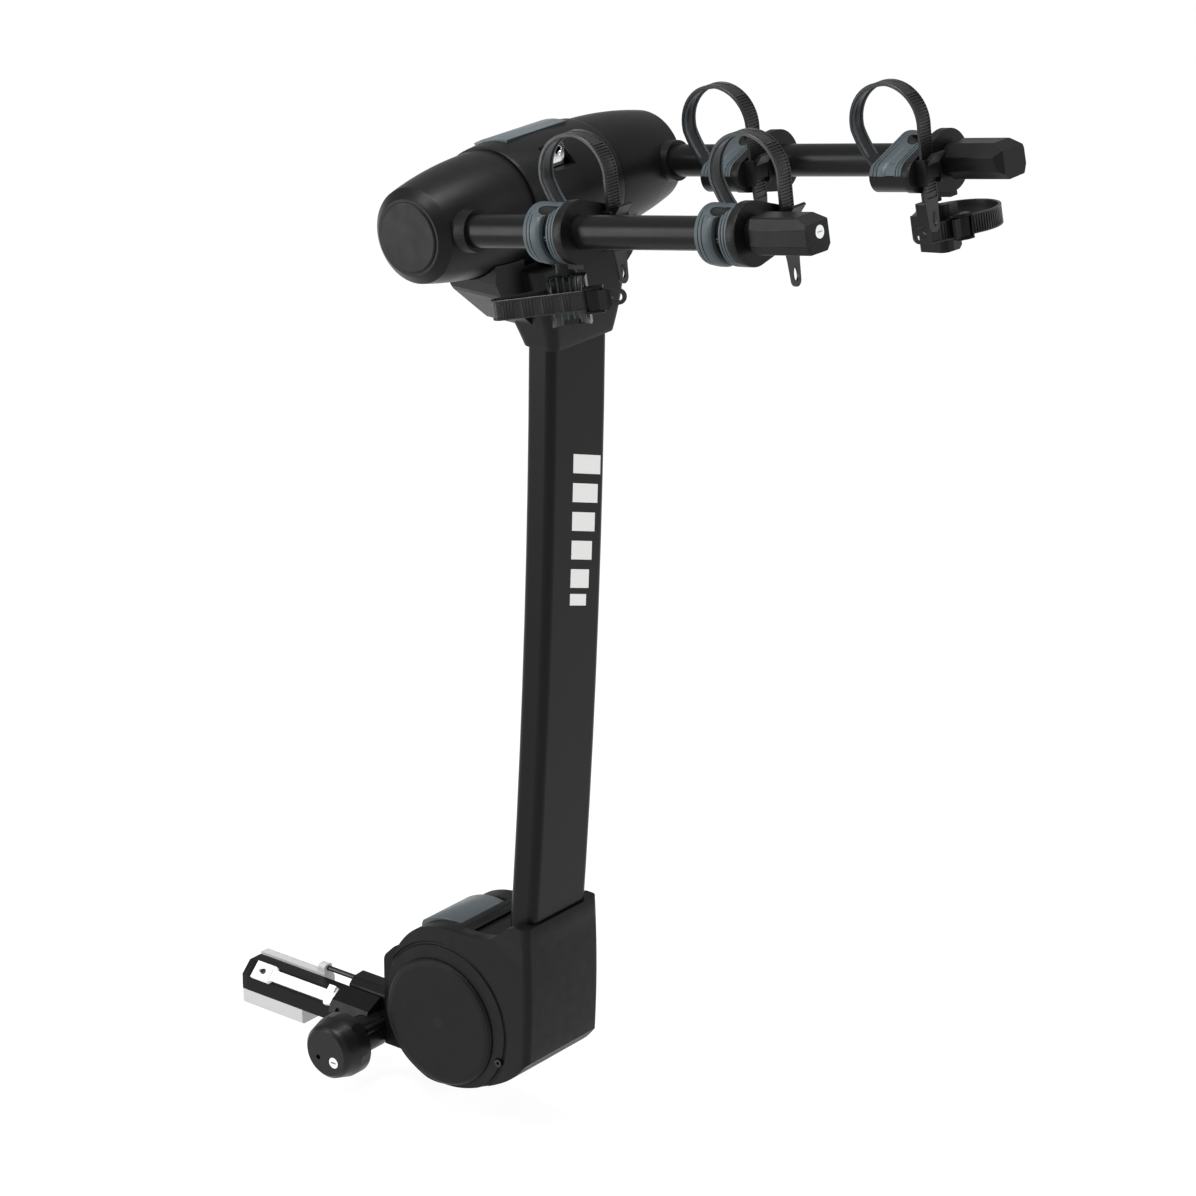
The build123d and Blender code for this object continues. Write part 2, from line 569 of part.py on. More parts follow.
def make_head_cover():
    """Fixed centre cover between the hubs, with the hook's pocket and the fold lever's seat."""
    origin = (HEAD_X, 0, HEAD_Z)
    with BuildLine() as outer:
        ThreePointArc((-COLLAR_Y, HEAD_R - 2.5), (0, HEAD_R + 1), (COLLAR_Y, HEAD_R - 2.5))
        Polyline((COLLAR_Y, HEAD_R - 2.5), (COLLAR_Y, 0), (-COLLAR_Y, 0), (-COLLAR_Y, HEAD_R - 2.5))
    cover = turned(outer.line, origin, "y")
    cover -= rod("y", (HEAD_X, -COLLAR_Y - 1, HEAD_Z), 2 * COLLAR_Y + 2, HEAD_R - SHELL - 2.5)
    # seat of the fold lever in the upper front, and the finger slit behind it
    cover -= fold_lever_block(0.8)
    for y in FOLD_EAR_Y:
        cover -= box(FOLD_PIN[0] - 10, FOLD_PIN[0] + 14, y - 1, y + 6, FOLD_PIN[1] - 10, FOLD_PIN[1] + 18)
    # pocket round the hook
    cover -= box(HEAD_X + 30, HEAD_X + 80, HOOK_Y - 16, HOOK_Y + 16, HOOK_Z - 13, HOOK_Z + 15)
    cover -= box(HEAD_X + 4, HEAD_X + 90, -MAST_WIDTH / 2 - 3, MAST_WIDTH / 2 + 3, 900, HEAD_Z - 30)
    return cover


def fold_lever_block(clearance):
    """Curved panel of the fold lever: a slice of the cover's barrel."""
    half = 47.0 + clearance
    ring = rod("y", (HEAD_X, -half, HEAD_Z), 2 * half, HEAD_R + 2.2 + clearance)
    ring -= rod("y", (HEAD_X, -half - 1, HEAD_Z), 2 * half + 2, HEAD_R - 6)
    wedge = slab_xz(polygon((HEAD_X, HEAD_Z), (HEAD_X - 66 - 8 * clearance, HEAD_Z + 100),
                            (HEAD_X + 8 + clearance, HEAD_Z + 100)), -half, half)
    return ring & wedge


FOLD_EAR_Y = (-40.0, 35.0)       # lower y of the fold lever's two 5 mm ears


def make_fold_lever():
    panel = fold_lever_block(0)
    px, pz = FOLD_PIN
    ears = [slab_xz(polygon((px - 5, pz - 5), (px + 6, pz - 5), (px + 10, pz + 12), (px + 1, pz + 12)), y, y + 5)
            for y in FOLD_EAR_Y]
    lever = union(panel, *ears)
    return lever - rod("y", (FOLD_PIN[0], -60, FOLD_PIN[1]), 120, 2.5 + RUNNING)


def make_fold_latch():
    """Toothed pawl bar just above the notched ring of the cross shaft's block."""
    bar = box(HEAD_X - 5, HEAD_X + 5, -26, 26, HEAD_Z + 24, HEAD_Z + 32)
    return chamfer(bar.edges().filter_by(Axis.Y), 1.2)


HOOK_Y, HOOK_Z = -12.0, HEAD_Z + 54


def make_hook_loop():
    """Bent strap with an eye, bolted inside the cover."""
    plate = box(HEAD_X + 40, HEAD_X + 44, HOOK_Y - 9, HOOK_Y + 9, HOOK_Z - 11, HOOK_Z + 12)
    plate = fillet(plate.edges().filter_by(Axis.X).group_by(Axis.Z)[-1], 8.5)
    plate -= rod("x", (HEAD_X + 30, HOOK_Y, HOOK_Z + 3), 30, 4.5)
    foot = box(HEAD_X + 20, HEAD_X + 44, HOOK_Y - 9, HOOK_Y + 9, HOOK_Z - 14, HOOK_Z - 11)
    return plate + foot


def make_head_block():
    """Steel block welded in the mast's top; two bearing plates carry the cross shaft."""
    outline = polygon((HEAD_X - 20, HEAD_Z - 14), (HEAD_X - 8, HEAD_Z + 21), (HEAD_X + 10, HEAD_Z + 21),
                      (HEAD_X + 34, HEAD_Z - 10), (484, 940), (484, 880), (459, 880), (459, 936),
                      (HEAD_X - 8, HEAD_Z - 22))
    near = slab_xz(outline, -36, -27)
    far = slab_xz(outline, 27, 36)
    tie = box(459, 484, -28, 28, 884, 926)
    block = union(near, far, tie)
    return block - rod("y", (HEAD_X, -60, HEAD_Z), 120, CROSS_R + RUNNING)


WING_Y = 116.0                   # the wings end short of the arms, which fold down past them


def make_head_bracket():
    """Moulded gusset under the hubs that closes round the top of the mast."""
    wing = slab_yz(polygon((-52, 884), (52, 884), (106, 928), (WING_Y, 946), (WING_Y, 990), (-WING_Y, 990),
                           (-WING_Y, 946), (-106, 928)), 408, 474)
    wing = chamfer(wing.edges().filter_by(Axis.X).filter_by(lambda e: e.center().Z < 940 and abs(e.center().Y) > 90), 3)
    front = loft([Plane.XY.offset(862) * Pos(474, 0) * RectangleRounded(44, 102, 10),
                  Plane.XY.offset(886) * Pos(471, 0) * RectangleRounded(56, 116, 12),
                  Plane.XY.offset(950) * Pos(452, 0) * RectangleRounded(84, 152, 14)])
    bracket = wing + front
    bracket -= rod("y", (HEAD_X, -COLLAR_Y - 1, HEAD_Z), 2 * COLLAR_Y + 2, HEAD_R + 1.3)
    for side in (-1, 1):
        cone = turned(hub_clearance_profile(side), (HEAD_X, 0, HEAD_Z), "y")
        bracket -= cone
    bracket -= mast_envelope(0.1)
    bracket -= box(404, 489, -MAST_WIDTH / 2, MAST_WIDTH / 2, 926, 1000)
    hollow = slab_yz(polygon((55, 891), (103, 931), (WING_Y - 3.5, 949), (WING_Y - 3.5, 1000), (55, 1000)), 412, 470)
    return bracket - hollow - mirrored(hollow)


def hub_clearance_profile(side):
    """Room that a hub and the root of its arm need, as (y, radius)."""
    y0 = side * (COLLAR_Y + 0.2)
    with BuildLine() as line:
        Line((y0, 0), (y0, HUB_R + 1))
        ThreePointArc((y0, HUB_R + 1), (side * 132, 59.6), (side * (HEAD_HALF - 9), HUB_END_R + 1))
        Polyline((side * (HEAD_HALF - 9), HUB_END_R + 1), (side * (HEAD_HALF - 9), 0), (y0, 0))
    return line.line


# ---------------------------------------------------------------- cradles
def at_station(name):
    return near_arm() * Pos(STATIONS[name], 0, 0)


def teardrop(radius, end_radius, reach, drop):
    """Outline in (y, z): a circle round the arm joined to a smaller one further inward."""
    return make_hull([Circle(radius).edge(), (Pos(reach, drop) * Circle(end_radius)).edge()])


def cradle_slice(radius, end_radius, x0, x1):
    """Slice of the teardrop between two places along the arm."""
    face = teardrop(radius, end_radius, 56, -4)
    return extrude(Plane.YZ.offset(x0) * face, x1 - x0)


def seat_groove(clearance=0.0):
    """Channel across the cradle for a bicycle's top tube."""
    return Pos(4, 50, 20 + TUBE_SEAT_R) * Rot(90, 0, 0) * Cylinder(TUBE_SEAT_R - clearance, 100)


NOSE_Y, NOSE_Z = 26.0, -1.0      # inward of and below this line the saddle is bare core


def cradle_beam():
    """Inner beam of the saddle, from the core to its nose."""
    return cradle_slice(CORE_R - 1, 13, CRADLE_IN + 3, CRADLE_OUT - 10) & box(-60, 60, 10, 90, -60, 60)


def make_cradle_base():
    """Black core that turns on the arm, its end flange, saddle beam and buckle block."""
    core = extrude(Plane.YZ.offset(CRADLE_IN + 1) * Circle(CORE_R), CRADLE_OUT - CRADLE_IN - 10)
    flange = cradle_slice(FLANGE_R, 17, CRADLE_OUT - 10, CRADLE_OUT)
    beam = cradle_beam()
    nose = cradle_slice(FLANGE_R - 1, 16, CRADLE_IN + 1, CRADLE_OUT - 9)
    nose &= box(-60, 60, NOSE_Y, 90, -60, NOSE_Z - 0.1)
    buckle = box(CRADLE_OUT - 6, CRADLE_OUT + 12, STRAP_Y - 13, STRAP_Y + 13, -14, 12)
    buckle = fillet(buckle.edges().filter_by(Axis.Y), 3)
    base = union(core, flange, beam, nose, buckle)
    base -= seat_groove()
    base -= box(CRADLE_OUT + 2, CRADLE_OUT + 13, STRAP_Y - 10.4, STRAP_Y + 10.4, -20, 20)
    base -= rod("y", (LEVER_AXIS[0], STRAP_Y - 13.1, LEVER_AXIS[1]), 26.2, LEVER_PIN_R + RUNNING)
    base -= extrude(Plane.YZ.offset(-60) * Circle(ARM_R + RUNNING), 120)
    return base


def make_cradle_liner():
    """Rubber liner: two ring pads round the core and a sheet over the saddle."""
    ring = cradle_slice(FLANGE_R, 17, CRADLE_IN, CRADLE_IN + 22)
    ring += cradle_slice(FLANGE_R - 0.5, 16.5, CRADLE_OUT - 21, CRADLE_OUT - 10.1)
    sheet = cradle_slice(FLANGE_R - 3, 16, CRADLE_IN + 21.9, CRADLE_OUT - 20.9)
    sheet &= box(-60, 60, -14, 90, -4, 60)
    liner = ring + sheet - box(-60, 60, NOSE_Y, 90, -60, NOSE_Z)
    liner -= extrude(Plane.YZ.offset(-60) * Circle(CORE_R), 120)
    return liner - cradle_beam() - seat_groove()


def strap_path():
    """Centre line of the cradle strap in (x, z): anchor, loop over the seat, buckle and tail."""
    top = 88.0 - STRAP_LOOP_R
    with BuildLine() as line:
        ThreePointArc((-12, -3), (-31, 20), (-40.5, 42))
        ThreePointArc((-40.5, 42), (0, top + STRAP_LOOP_R), (40.5, 42))
        Line((40.5, 42), (CRADLE_OUT + 5, 8))
        Line((CRADLE_OUT + 5, 8), (CRADLE_OUT + 5, -28))
    return line.line


def make_cradle_strap():
    """Ladder strap, looped over the seat and through the buckle, with a finger loop at its end."""
    band = extrude(Plane.XZ * trace(strap_path(), STRAP_THICK), STRAP_WIDTH / 2, both=True)
    tail_plane = Plane(origin=(CRADLE_OUT + 5 - STRAP_THICK / 2, 0, -28), x_dir=(0, 1, 0), z_dir=(1, 0, 0))
    outline = make_hull([Line((-10, 1), (10, 1)), (Pos(0, -27) * Circle(6.5)).edge()])
    hole = make_hull([(Pos(0, -13) * Circle(2.5)).edge(), (Pos(0, -26) * Circle(3.2)).edge()])
    strap = band + extrude(tail_plane * (outline - hole), STRAP_THICK)
    return Pos(0, STRAP_Y, 0) * strap


LEVER_AXIS = (CRADLE_OUT + 9.0, -6.0)     # (x, z) of the ratchet lever's trunnions
LEVER_PIN_R = 1.8


def make_cradle_lever():
    """Ratchet lever of the cradle's buckle, with a trunnion at each side."""
    x0 = CRADLE_OUT + 7
    with BuildLine() as line:
        Polyline((x0, -6.5), (x0 + 1, -8), (x0 + 4, -8), (x0 + 5, 6), (x0 + 14, 16), (x0 + 12, 18), (x0 + 1, 9),
                 (x0, -6.5))
    plate = slab_xz(line.line, -10, 10) + rod("y", (LEVER_AXIS[0], -12.9, LEVER_AXIS[1]), 25.8, LEVER_PIN_R)
    return Pos(0, STRAP_Y, 0) * plate


# The anti-sway cage: a post that swivels under the cradle, a padded channel and a strap loop.
POST_R = 5.0
CAGE_AT = (6.0, 2.0)             # (x, y) of the swivel axis, relative to the cradle's centre
LOOP_Z = -66.0                   # middle of the cage strap's width
CHANNEL = (-19.0, 19.0, -4.0, 9.0, -92.0, -44.0)
LOOP_STATIONS = {"near": "inner", "far": "outer"}
CAGE_YAW = {"near": 34.0, "far": 8.0}     # how each cage is turned at rest


def make_post_socket():
    """Socket under a cradle that takes the cage's post."""
    x, y = CAGE_AT
    socket = Pos(x, y, -30) * Cylinder(POST_R + 5, 23)
    return socket + box(x - 8, CRADLE_OUT, y - 6, y + 6, -36, -22)


def drill_post_socket(base):
    x, y = CAGE_AT
    base -= Pos(x, y, -34) * Cylinder(POST_R + RUNNING, 18)
    return base - Pos(x, y, -34) * Cylinder(POST_R + 1.5, 4)


def make_cage():
    """Post, the channel that backs the pad, and the strap's anchor."""
    post = Pos(0, 0, -35.2) * Cylinder(POST_R, 19.6)
    x0, x1, y0, y1, z0, z1 = CHANNEL
    channel = box(x0, x1, y0, y1, z0, z1)
    channel = fillet(channel.edges().filter_by(Axis.Z).group_by(Axis.Y)[-1], 7)
    anchor = box(x0 - 6, x0 + 4, 1, 8, LOOP_Z - STRAP_WIDTH / 2, LOOP_Z + STRAP_WIDTH / 2)
    return post + channel + anchor


def make_cage_pad():
    """Rubber pad with a waisted groove that a seat tube is drawn into."""
    x0, x1, y0, _, z0, z1 = CHANNEL
    pad = box(x0, x1, y0 - 12, y0, z0, z1)
    waist = turned_z([(z0 - 1, 21), (LOOP_Z, 15.5), (z1 + 1, 21)], (0, y0 - 18))
    return pad - waist


def turned_z(profile, centre):
    """Revolve a three-point (z, radius) arc about a vertical axis."""
    (z0, r0), (z1, r1), (z2, r2) = profile
    with BuildLine() as line:
        Line((0, z0), (r0, z0))
        ThreePointArc((r0, z0), (r1, z1), (r2, z2))
        Polyline((r2, z2), (0, z2), (0, z0))
    plane = Plane(origin=(*centre, 0), x_dir=(1, 0, 0), z_dir=(0, -1, 0))
    return revolve(plane * make_face(line.line), axis=Axis((*centre, 0), (0, 0, 1)))


def loop_path(kind):
    """Centre line of the cage strap in (x, y): drawn flat on the near cage, open on the far one."""
    with BuildLine() as line:
        if kind == "near":
            Line((-24, 4.5), (-70, -9))
            ThreePointArc((-70, -9), (-74, -17), (-66, -23))
            Line((-66, -23), (38, -23))
        else:
            Line((-24, 4.5), (-33, -10))
            ThreePointArc((-33, -10), (6, -76), (42, -22))
            Line((42, -22), (26, 34))
    return line.line


def make_cage_strap(kind):
    path = loop_path(kind)
    band = extrude(Plane.XY.offset(LOOP_Z) * trace(path, STRAP_THICK), STRAP_WIDTH / 2, both=True)
    along = path % 1
    end = Plane(origin=(path @ 1) + Vector(0, 0, LOOP_Z), x_dir=along, z_dir=along.cross(Vector(0, 0, 1)))
    outline = make_hull([Line((-1, -10), (-1, 10)), (Pos(12, 0) * Circle(8)).edge()])
    tail = extrude(end * (outline - Pos(11, 0) * Circle(4.5)), STRAP_THICK / 2, both=True)
    return band + tail


def buckle_place(kind):
    """Where the cage's buckle sits on the strap, with x along the strap."""
    if kind == "near":
        return Pos(26, -23, LOOP_Z)
    return Pos(36, -1, LOOP_Z) * Rot(0, 0, 106)


def make_cage_buckle(kind):
    """Buckle frame on the strap."""
    frame = box(-10, 10, -6.5, 5, -13, 13)
    frame = fillet(frame.edges().filter_by(Axis.Z), 2)
    frame -= box(-11, 11, -1.7, 1.7, -10.3, 10.3)
    frame -= box(-7, 11, -8, -1, -10.3, 10.3)
    frame -= Pos(*CAGE_LEVER_AXIS, 0) * Cylinder(CAGE_PIN_R + RUNNING, 26.2)
    return buckle_place(kind) * frame


CAGE_LEVER_AXIS = (-3.0, -4.4)   # (x, y) of the trunnions, relative to the buckle
CAGE_PIN_R = 1.5


def make_cage_lever(kind):
    """Ratchet lever of the cage's buckle, with a trunnion at each side."""
    lever = slab_xy(polygon((-5, -2.3), (7, -2.3), (15, -8), (13, -10), (5, -6.5), (-5, -6.5)), -10, 10)
    lever += Pos(*CAGE_LEVER_AXIS, 0) * Cylinder(CAGE_PIN_R, 25.8)
    return buckle_place(kind) * lever


def slab_xy(outline, z0, z1):
    return extrude(Plane.XY.offset(z0) * make_face(outline), z1 - z0)


def place_on_arm(shape, side, station):
    placed = at_station(station) * shape
    return placed if side == "near" else mirrored(placed)


def place_cage(shape, side):
    x, y = CAGE_AT
    return place_on_arm(Pos(x, y, 0) * Rot(0, 0, CAGE_YAW[side]) * shape, side, LOOP_STATIONS[side])


# ---------------------------------------------------------------- nodes
save(make_bar(), "hitch_bar")
save(make_end_plug(), "bar_end_plug")
save(group(make_far_adapter(), make_lower_adapter()), "adapter_blocks")
adapter_screws = [cap_screw(start, way, ADAPTER_SCREW_LENGTH, 2.5) for start, way in ADAPTER_SCREWS]
save(group(make_tie_rod(), *adapter_screws), "adapter_fasteners")
save(make_knob_housing_near(), "knob_housing_near")
save(make_knob_housing_far(), "knob_housing_far")
save(make_pivot_bracket(), "pivot_bracket")
save(make_pivot_bolt(), "pivot_bolt")

save(make_wedge(), "wedge")
save(make_draw_screw(), "draw_screw")
save(make_knob(), "knob")
save(make_knob_shaft(), "knob_shaft")
save(make_lock_core((LOCK_X, KNOB_FACE_Y + 0.6, LOCK_Z), (0, -1, 0), 14), "knob_lock_core")

save(make_mast_tube(), "mast_tube")
save(make_mast_foot(), "mast_foot")
save(make_pivot_bushes(), "pivot_bushes")
save(make_knuckle_housing(), "knuckle_housing")
save(make_pivot_caps(), "pivot_caps")
save(make_knuckle_fasteners(), "knuckle_fasteners")
save(make_lever_pins(), "lever_pins")
save(make_tilt_lever(), "tilt_lever")
save(make_tilt_latch(), "tilt_latch")
save(make_head_block(), "head_block")
save(make_head_cover(), "head_cover")
save(make_head_bracket(), "head_bracket")
save(make_hook_loop(), "hook_loop")
save(make_fold_lever(), "fold_lever")
save(make_fold_latch(), "fold_latch")

save(make_cross_shaft(), "cross_shaft")
hub_far = make_hub_far()
save(hub_far, "hub_far")
save(mirrored(hub_far), "hub_near")
cap_far = make_hub_cap_far()
save(group(cap_far, mirrored(cap_far)), "hub_caps")
arm_tube = make_arm_tube()
save(group(arm_tube, mirrored(arm_tube)), "arm_tubes")
save(make_arm_end(True), "arm_end_near")
save(mirrored(make_arm_end(False)), "arm_end_far")
save(make_arm_lock(), "arm_lock_core")

for side in ("near", "far"):
    for station in STATIONS:
        base = make_cradle_base()
        if LOOP_STATIONS[side] == station:
            base = drill_post_socket(base + make_post_socket())
            base -= extrude(Plane.YZ.offset(-60) * Circle(ARM_R + RUNNING), 120)
        name = f"{side}_{station}"
        strap = make_cradle_strap()
        base -= strap
        liner = make_cradle_liner() - strap - make_post_socket()
        save(place_on_arm(base, side, station), f"cradle_base_{name}")
        save(place_on_arm(liner, side, station), f"cradle_liner_{name}")
        save(place_on_arm(strap, side, station), f"cradle_strap_{name}")
        save(place_on_arm(make_cradle_lever(), side, station), f"cradle_lever_{name}")
    loop = make_cage_strap(side)
    save(place_cage(make_cage() - loop, side), f"cage_{side}")
    save(place_cage(make_cage_pad(), side), f"cage_pad_{side}")
    save(place_cage(group(loop, make_cage_buckle(side)), side), f"cage_strap_{side}")
    save(place_cage(make_cage_lever(side), side), f"cage_lever_{side}")
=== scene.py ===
"""Looks of the hanging bicycle carrier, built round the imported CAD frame.

The scene is in metres, and local outlines are in millimetres.
"""
import json
from math import atan2, cos, hypot, pi, radians, sin, sqrt

import bmesh
import bpy
from mathutils import Matrix, Vector


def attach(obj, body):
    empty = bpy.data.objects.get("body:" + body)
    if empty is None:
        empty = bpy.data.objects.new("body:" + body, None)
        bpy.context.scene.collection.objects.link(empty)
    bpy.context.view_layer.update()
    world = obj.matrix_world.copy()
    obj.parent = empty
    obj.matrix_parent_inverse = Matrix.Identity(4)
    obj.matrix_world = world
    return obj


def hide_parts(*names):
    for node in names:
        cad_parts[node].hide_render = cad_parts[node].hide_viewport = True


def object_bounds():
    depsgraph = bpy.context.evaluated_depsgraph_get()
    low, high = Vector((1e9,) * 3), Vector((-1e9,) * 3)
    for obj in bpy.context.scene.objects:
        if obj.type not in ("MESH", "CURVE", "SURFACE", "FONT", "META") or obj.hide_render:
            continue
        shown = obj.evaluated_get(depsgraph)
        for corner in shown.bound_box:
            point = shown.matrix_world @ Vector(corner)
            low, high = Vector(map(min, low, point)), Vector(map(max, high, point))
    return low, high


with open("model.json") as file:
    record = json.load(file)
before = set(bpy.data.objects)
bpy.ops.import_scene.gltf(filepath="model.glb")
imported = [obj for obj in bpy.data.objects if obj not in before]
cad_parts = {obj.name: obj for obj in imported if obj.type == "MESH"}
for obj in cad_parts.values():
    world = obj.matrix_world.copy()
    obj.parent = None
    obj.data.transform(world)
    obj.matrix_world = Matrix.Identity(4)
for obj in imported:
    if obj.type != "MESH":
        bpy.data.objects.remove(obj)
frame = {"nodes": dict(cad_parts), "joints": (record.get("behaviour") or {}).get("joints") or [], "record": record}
CAD_LOW, CAD_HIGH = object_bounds()
NODES = frame["nodes"]
MM = 0.001

# ---------------------------------------------------------------- places read from the frame
JOINTS = {joint["name"]: joint for joint in frame["joints"]}
ALONG = Vector(JOINTS["cradle_turn_near_inner"]["axis"]).normalized()
STATIONS = {name: Vector(JOINTS[f"cradle_turn_{name}"]["pos_m"])
            for name in ("near_inner", "near_outer", "far_inner", "far_outer")}
CAGE_YAW = {"near": radians(34), "far": radians(8)}
CAGE_CRADLE = {"near": "near_inner", "far": "far_outer"}
CAGE_AT = Vector((6, 2, 0))


def arm_matrix(origin, side):
    """Placement of arm coordinates in millimetres: x along the arm, y inward, z up from it."""
    inward = 1 if side == "near" else -1
    up = Vector((-ALONG.z, 0, ALONG.x))
    columns = (ALONG * MM, Vector((0, inward * MM, 0)), up * MM)
    turned = Matrix([[column[row] for column in columns] for row in range(3)]).to_4x4()
    return Matrix.Translation(origin) @ turned


def cradle_matrix(name):
    return arm_matrix(STATIONS[name], name.split("_")[0])


def cage_matrix(side):
    turned = Matrix.Translation(CAGE_AT) @ Matrix.Rotation(CAGE_YAW[side], 4, "Z")
    return cradle_matrix(CAGE_CRADLE[side]) @ turned


# ---------------------------------------------------------------- materials
def node_tree(name):
    material = bpy.data.materials.new(name)
    material.use_nodes = True
    return material, material.node_tree, material.node_tree.nodes["Principled BSDF"]


def add(tree, kind, **inputs):
    """New node with some of its inputs set."""
    node = tree.nodes.new(kind)
    for key, value in inputs.items():
        node.inputs[key.replace("_", " ")].default_value = value
    return node


def noise(tree, scale, detail=3.0, stretch=None):
    coordinates = tree.nodes.new("ShaderNodeTexCoord")
    source = coordinates.outputs["Object"]
    if stretch:
        mapping = add(tree, "ShaderNodeMapping", Scale=stretch)
        tree.links.new(source, mapping.inputs["Vector"])
        source = mapping.outputs["Vector"]
    texture = add(tree, "ShaderNodeTexNoise", Scale=scale, Detail=detail, Roughness=0.55)
    tree.links.new(source, texture.inputs["Vector"])
    return texture.outputs["Fac"]


def spread(tree, source, low, high, start=0.3, end=0.7):
    """Map a noise value to a range."""
    node = add(tree, "ShaderNodeMapRange")
    for socket, value in zip(("From Min", "From Max", "To Min", "To Max"), (start, end, low, high)):
        node.inputs[socket].default_value = value
    tree.links.new(source, node.inputs["Value"])
    return node.outputs["Result"]


def shade(color, factor):
    return tuple(min(1.0, channel * factor) for channel in color) + (1.0,)


def mix_color(tree, factor, first, second):
    node = tree.nodes.new("ShaderNodeMix")
    node.data_type = "RGBA"
    tree.links.new(factor, node.inputs["Factor"])
    for socket, value in ((node.inputs["A"], first), (node.inputs["B"], second)):
        if isinstance(value, tuple):
            socket.default_value = value
        else:
            tree.links.new(value, socket)
    return node.outputs["Result"]


def surface(name, color, rough, grain=1400.0, depth=0.00003, metallic=0.0, specular=0.5, variation=0.18,
            edge=1.5, rough_spread=0.05, stretch=None, coat=0.0):
    """Shared build-up: fine grain bump, cloudy colour, uneven roughness and colour made lighter on sharply convex
    edges.
    """
    material, tree, shader = node_tree(name)
    cloud = spread(tree, noise(tree, 22, 4.0), 0.0, 1.0)
    tone = mix_color(tree, cloud, shade(color, 1 - variation), shade(color, 1 + variation))
    speck = spread(tree, noise(tree, grain * 0.4, 2.0, stretch), 0.0, 0.35, 0.52, 0.72)
    tone = mix_color(tree, speck, tone, shade(color, 1 + 2 * variation))
    geometry = tree.nodes.new("ShaderNodeNewGeometry")
    # Colour made lighter where the surface is sharply convex, scaled by the edge factor.
    convex_edge_lightening = spread(tree, geometry.outputs["Pointiness"], 0.0, 0.8, 0.53, 0.62)
    tone = mix_color(tree, convex_edge_lightening, tone, shade(color, edge))
    tree.links.new(tone, shader.inputs["Base Color"])
    tree.links.new(spread(tree, noise(tree, 75, 3.0), rough - rough_spread, rough + rough_spread),
                   shader.inputs["Roughness"])
    bump = add(tree, "ShaderNodeBump", Strength=0.6, Distance=depth)
    tree.links.new(noise(tree, grain, 3.0, stretch), bump.inputs["Height"])
    tree.links.new(bump.outputs["Normal"], shader.inputs["Normal"])
    shader.inputs["Metallic"].default_value = metallic
    shader.inputs["Specular IOR Level"].default_value = specular
    shader.inputs["Coat Weight"].default_value = coat
    shader.inputs["Coat Roughness"].default_value = 0.2
    return material


MATERIALS = {
    "powder_coat": surface("powder_coat", (0.0040, 0.0041, 0.0044), 0.30, 1900, 0.00001, variation=0.10,
                           specular=0.13, rough_spread=0.02),
    "black_plastic": surface("black_plastic", (0.0046, 0.0047, 0.0050), 0.38, 1500, 0.00002, specular=0.15,
                             rough_spread=0.03),
    "knuckle_plastic": surface("knuckle_plastic", (0.0052, 0.0053, 0.0056), 0.46, 1500, 0.00003, specular=0.15),
    "knob_plastic": surface("knob_plastic", (0.0050, 0.0050, 0.0054), 0.36, 1100, 0.00005, specular=0.26),
    "end_plug_plastic": surface("end_plug_plastic", (0.0044, 0.0044, 0.0048), 0.38, 1300, 0.00003, specular=0.16),
    "pale_nylon": surface("pale_nylon", (0.47, 0.47, 0.468), 0.52, 900, 0.00006, variation=0.03, edge=1.08),
    "white_wedge": surface("white_wedge", (0.84, 0.84, 0.83), 0.38, 700, 0.00008, variation=0.03, edge=1.04),
    "steel": surface("steel", (0.55, 0.56, 0.58), 0.30, 900, 0.00003, metallic=1.0, variation=0.08, edge=1.2),
    "dark_steel": surface("dark_steel", (0.035, 0.035, 0.038), 0.38, 900, 0.00004, metallic=0.9, variation=0.12),
    "chrome": surface("chrome", (0.86, 0.87, 0.88), 0.14, 400, 0.00002, metallic=1.0, variation=0.04, edge=1.05,
                      rough_spread=0.03),
    "slate_rubber": surface("slate_rubber", (0.036, 0.048, 0.054), 0.46, 1700, 0.00005, variation=0.12, edge=1.5,
                            specular=0.38),
    "slate_grip": surface("slate_grip", (0.060, 0.076, 0.083), 0.36, 1600, 0.00004, variation=0.08, edge=1.3,
                          specular=0.45),
    "strap_rubber": surface("strap_rubber", (0.0062, 0.0062, 0.0066), 0.36, 1300, 0.00004, edge=2.6, specular=0.38),
    "white_print": surface("white_print", (0.86, 0.86, 0.85), 0.42, 1800, 0.00001, variation=0.02, edge=1.0),
}
SLOT_OF = {part["node"]: part["material_slot"] for part in frame["record"]["subparts"]}
LOOK_OF = {"knuckle_housing": "knuckle_plastic", "pivot_caps": "knuckle_plastic", "knob": "knob_plastic"}


def dress(piece, look):
    piece.data.materials.clear()
    piece.data.materials.append(MATERIALS[look])


# ---------------------------------------------------------------- mesh helpers
def piece_from(name, mesh_build, matrix, body, slot, look=None, replaces=(), smooth=35.0):
    """Turn a bmesh in local coordinates into a piece that rides on a body."""
    mesh = bpy.data.meshes.new(name)
    bmesh.ops.transform(mesh_build, matrix=matrix, verts=mesh_build.verts)
    if matrix.determinant() < 0:
        bmesh.ops.reverse_faces(mesh_build, faces=mesh_build.faces)
    mesh_build.to_mesh(mesh)
    mesh_build.free()
    piece = bpy.data.objects.new(name, mesh)
    bpy.context.scene.collection.objects.link(piece)
    mesh.shade_smooth()
    mesh.set_sharp_from_angle(angle=radians(smooth))
    mesh.materials.append(MATERIALS[look or slot])
    if replaces:
        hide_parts(*replaces)
    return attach(piece, body)


